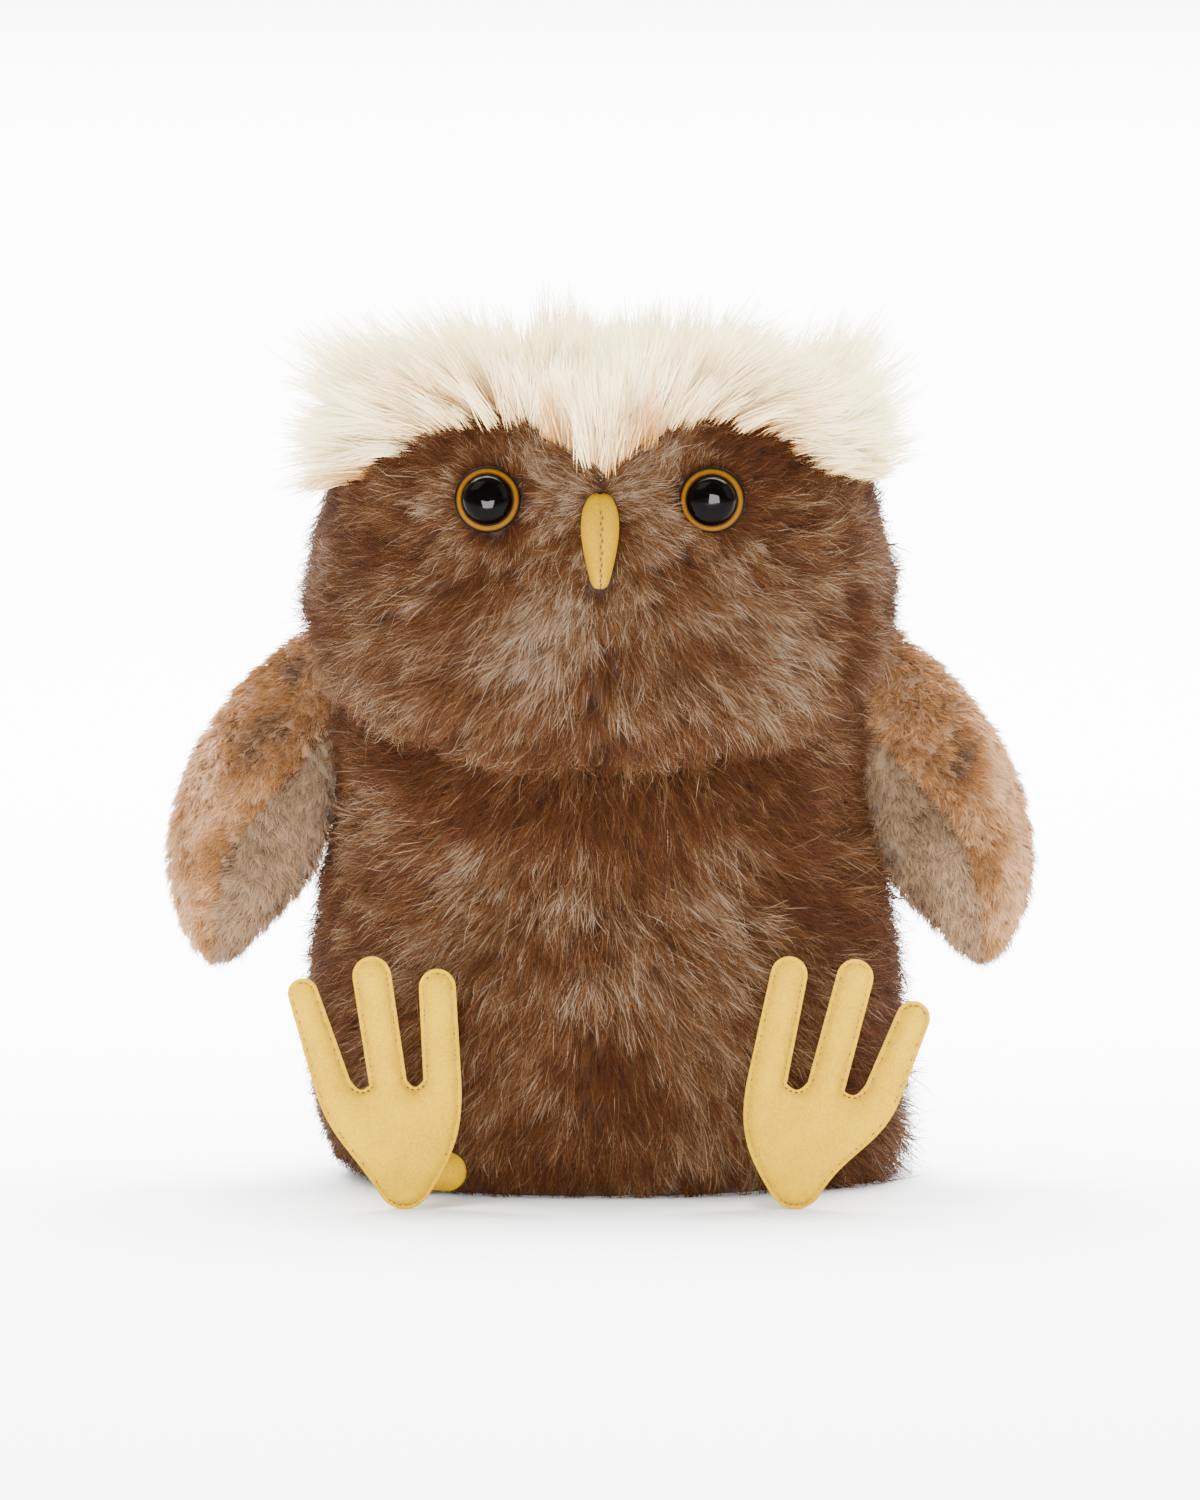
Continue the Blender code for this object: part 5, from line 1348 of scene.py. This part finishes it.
def build_wing(name, side, form):
    """One wing: its two skins and their short pile."""
    point_at = wing_point(side)
    body = "wing_" + name
    for part, slot, backing, look in (("outer", "tan_fur", tan_backing, tan_pile),
                                      ("lining", "greige_fur", greige_backing, greige_pile)):
        share = np.linspace(0.0, 1.0, 49)
        start, end = wing_arcs(side, share)[part]
        way = np.linspace(0.0, 1.0, 41)[:, None]
        angle = start + (end - start) * way
        share = np.broadcast_to(share, angle.shape)
        normal = wing_normal(point_at, angle, share)
        surface = point_at(angle, share)
        inset = wing_inset(side, normal, share)
        layers = [surface - normal * inset, surface - normal * (inset + WING_CLOTH)]
        made = solid_piece("wing_%s_%s_skin" % (name, part), *grid_shell(*layers), backing, body,
                           slot)
        trimmed(made, form)
        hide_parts("wing_%s_%s" % (name, part))

        rng = np.random.default_rng(51 + side)
        reach = (0.0, math.pi) if part == "outer" else (0.0, TURN)
        angle, share = scattered(point_at, reach, (0.01, 0.995), WING_SPACING, rng)
        start, end = wing_arcs(side, share)[part]
        angle = np.where(angle < start, angle + TURN, angle)
        surface = point_at(angle, share)
        kept = ~in_torso(surface, 0.001) & (angle < end)
        angle, share, surface = angle[kept], share[kept], surface[kept]
        start, end = start[kept], end[kept]
        normal = wing_normal(point_at, angle, share)
        down = axes(point_at, angle, share)[2]
        flow = swung(down, np.cross(normal, down), 0.35 * drift(surface, 0.012, 52))
        tones = wing_tone(surface, 53, side * normal[:, 0])
        seam = np.minimum(angle - start, end - angle) * WING_CHORD / 2
        size = 1.0 - 0.45 * bell(seam / 0.0018)
        tones -= 0.42 * bell(seam / 0.0014)
        roots = surface - normal * wing_inset(side, normal, share)
        clear = ~in_torso(roots, 0.0008)
        grow("wing_%s_%s_fur" % (name, part), roots[clear], normal[clear], normal[clear],
             flow[clear], tones[clear], size[clear], SHORT_FUR, look, body, 61 + side)


def wing_normal(point_at, angle, share):
    """The outward normals of a wing."""
    normal = axes(point_at, angle, share)[0]
    middle = point_at(0.0, share) / 2 + point_at(math.pi, share) / 2
    outwards = ((point_at(angle, share) - middle) * normal).sum(-1, keepdims=True)
    return normal * np.where(outwards < 0, -1.0, 1.0)


form = torso_form()
for name, side in SIDES:
    build_wing(name, side, form)
bpy.data.objects.remove(form, do_unlink=True)


# What the skins hold: looks for the solids that stay

FILLINGS = {
    "fibre_look": (cloth_look("fibre_look", "D8D4CC", "F2F0EC", 700.0),
                   ("torso_stuffing", "head_stuffing")),
    "wing_core_look": (cloth_look("wing_core_look", "4E3826", "6E543A", 700.0),
                       ("wing_left_stuffing", "wing_right_stuffing")),
    "pouch_look": (cloth_look("pouch_look", "B8B2A4", "D2CCBE", 1600.0), ("pellet_pouch",)),
    "washer_look": (cloth_look("washer_look", "C4C4C2", "E0E0DE", 400.0, 0.45, 0.0),
                    ("eye_left_washer", "eye_right_washer")),
}
for look, names in FILLINGS.values():
    for held in names:
        for held_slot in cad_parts[held].material_slots:
            held_slot.material = look


# Floor, light and camera


LIGHTS = (  # place, aim, size, power, colour
    ("front", (-0.04, -1.35, 0.13), (0.0, 0.0, 0.1), (0.34, 0.27), 40.0, (1.0, 1.0, 1.0)),
    ("key", (-0.7, -0.8, 1.2), (0.0, 0.0, 0.1), (0.9, 0.9), 20.0, (1.0, 0.99, 0.97)),
    ("fill", (0.95, -0.6, 0.7), (0.0, 0.0, 0.1), (0.9, 0.9), 10.0, (1.0, 1.0, 1.0)),
    ("back", (0.0, 0.7, 1.6), (0.0, 1.3, 0.0), (2.2, 1.0), 300.0, (1.0, 1.0, 1.0)),
    ("far", (0.0, 4.0, 2.6), (0.0, 4.0, 0.0), (5.0, 5.0), 1700.0, (1.0, 1.0, 1.0)),
)


def build_stage():
    """A plain pale floor, wide enough to fill the view from any side, in soft light."""
    radius, sides = 12.0, 96
    turns = TURN * np.arange(sides) / sides
    rim = np.stack([radius * np.cos(turns), radius * np.sin(turns), 0.0 * turns], axis=-1)
    mesh = plain_mesh("floor", rim, [list(range(sides))])
    mesh.materials.append(new_look("floor_paper", Base_Color=paint("FDFDFD"), Roughness=0.9)[0])
    linked("floor", mesh)

    world = bpy.data.worlds.new("studio")
    world.use_nodes = True
    tree, shine = world.node_tree, world.node_tree.nodes["Background"]
    way = node(tree, "SeparateXYZ", {"Vector": node(tree, "TexCoord").outputs["Generated"]})
    span = node(tree, "MapRange", {"Value": way.outputs["Y"], "From Min": -0.85,
                                   "From Max": 0.05}).outputs["Result"]
    tree.links.new(ramp(tree, span, (0.0, "828282"), (1.0, "FFFFFF")), shine.inputs["Color"])
    shine.inputs["Strength"].default_value = 1.5
    bpy.context.scene.world = world
    for name, place, aim, size, power, colour in LIGHTS:
        lamp = bpy.data.lights.new(name, "AREA")
        lamp.shape = "RECTANGLE"
        (lamp.size, lamp.size_y), lamp.energy, lamp.color = size, power, colour
        holder = linked(name, lamp)
        holder.location = place
        holder.rotation_euler = (Vector(aim) - Vector(place)).to_track_quat("-Z", "Y").to_euler()


def build_camera():
    """The photograph's view: from in front, 5 degrees above level."""
    distance, tilt, frame_height = 4.0, math.radians(5.0), 0.341
    camera = bpy.data.cameras.new("camera")
    camera.lens = camera.sensor_width * distance / frame_height
    holder = linked("camera", camera)
    aim = Vector((0.0, 0.0, 0.0971))
    holder.location = aim + Vector((0.0, -math.cos(tilt), math.sin(tilt))) * distance
    holder.rotation_euler = (QUARTER - tilt, 0.0, 0.0)
    bpy.context.scene.camera = holder


build_stage()
build_camera()
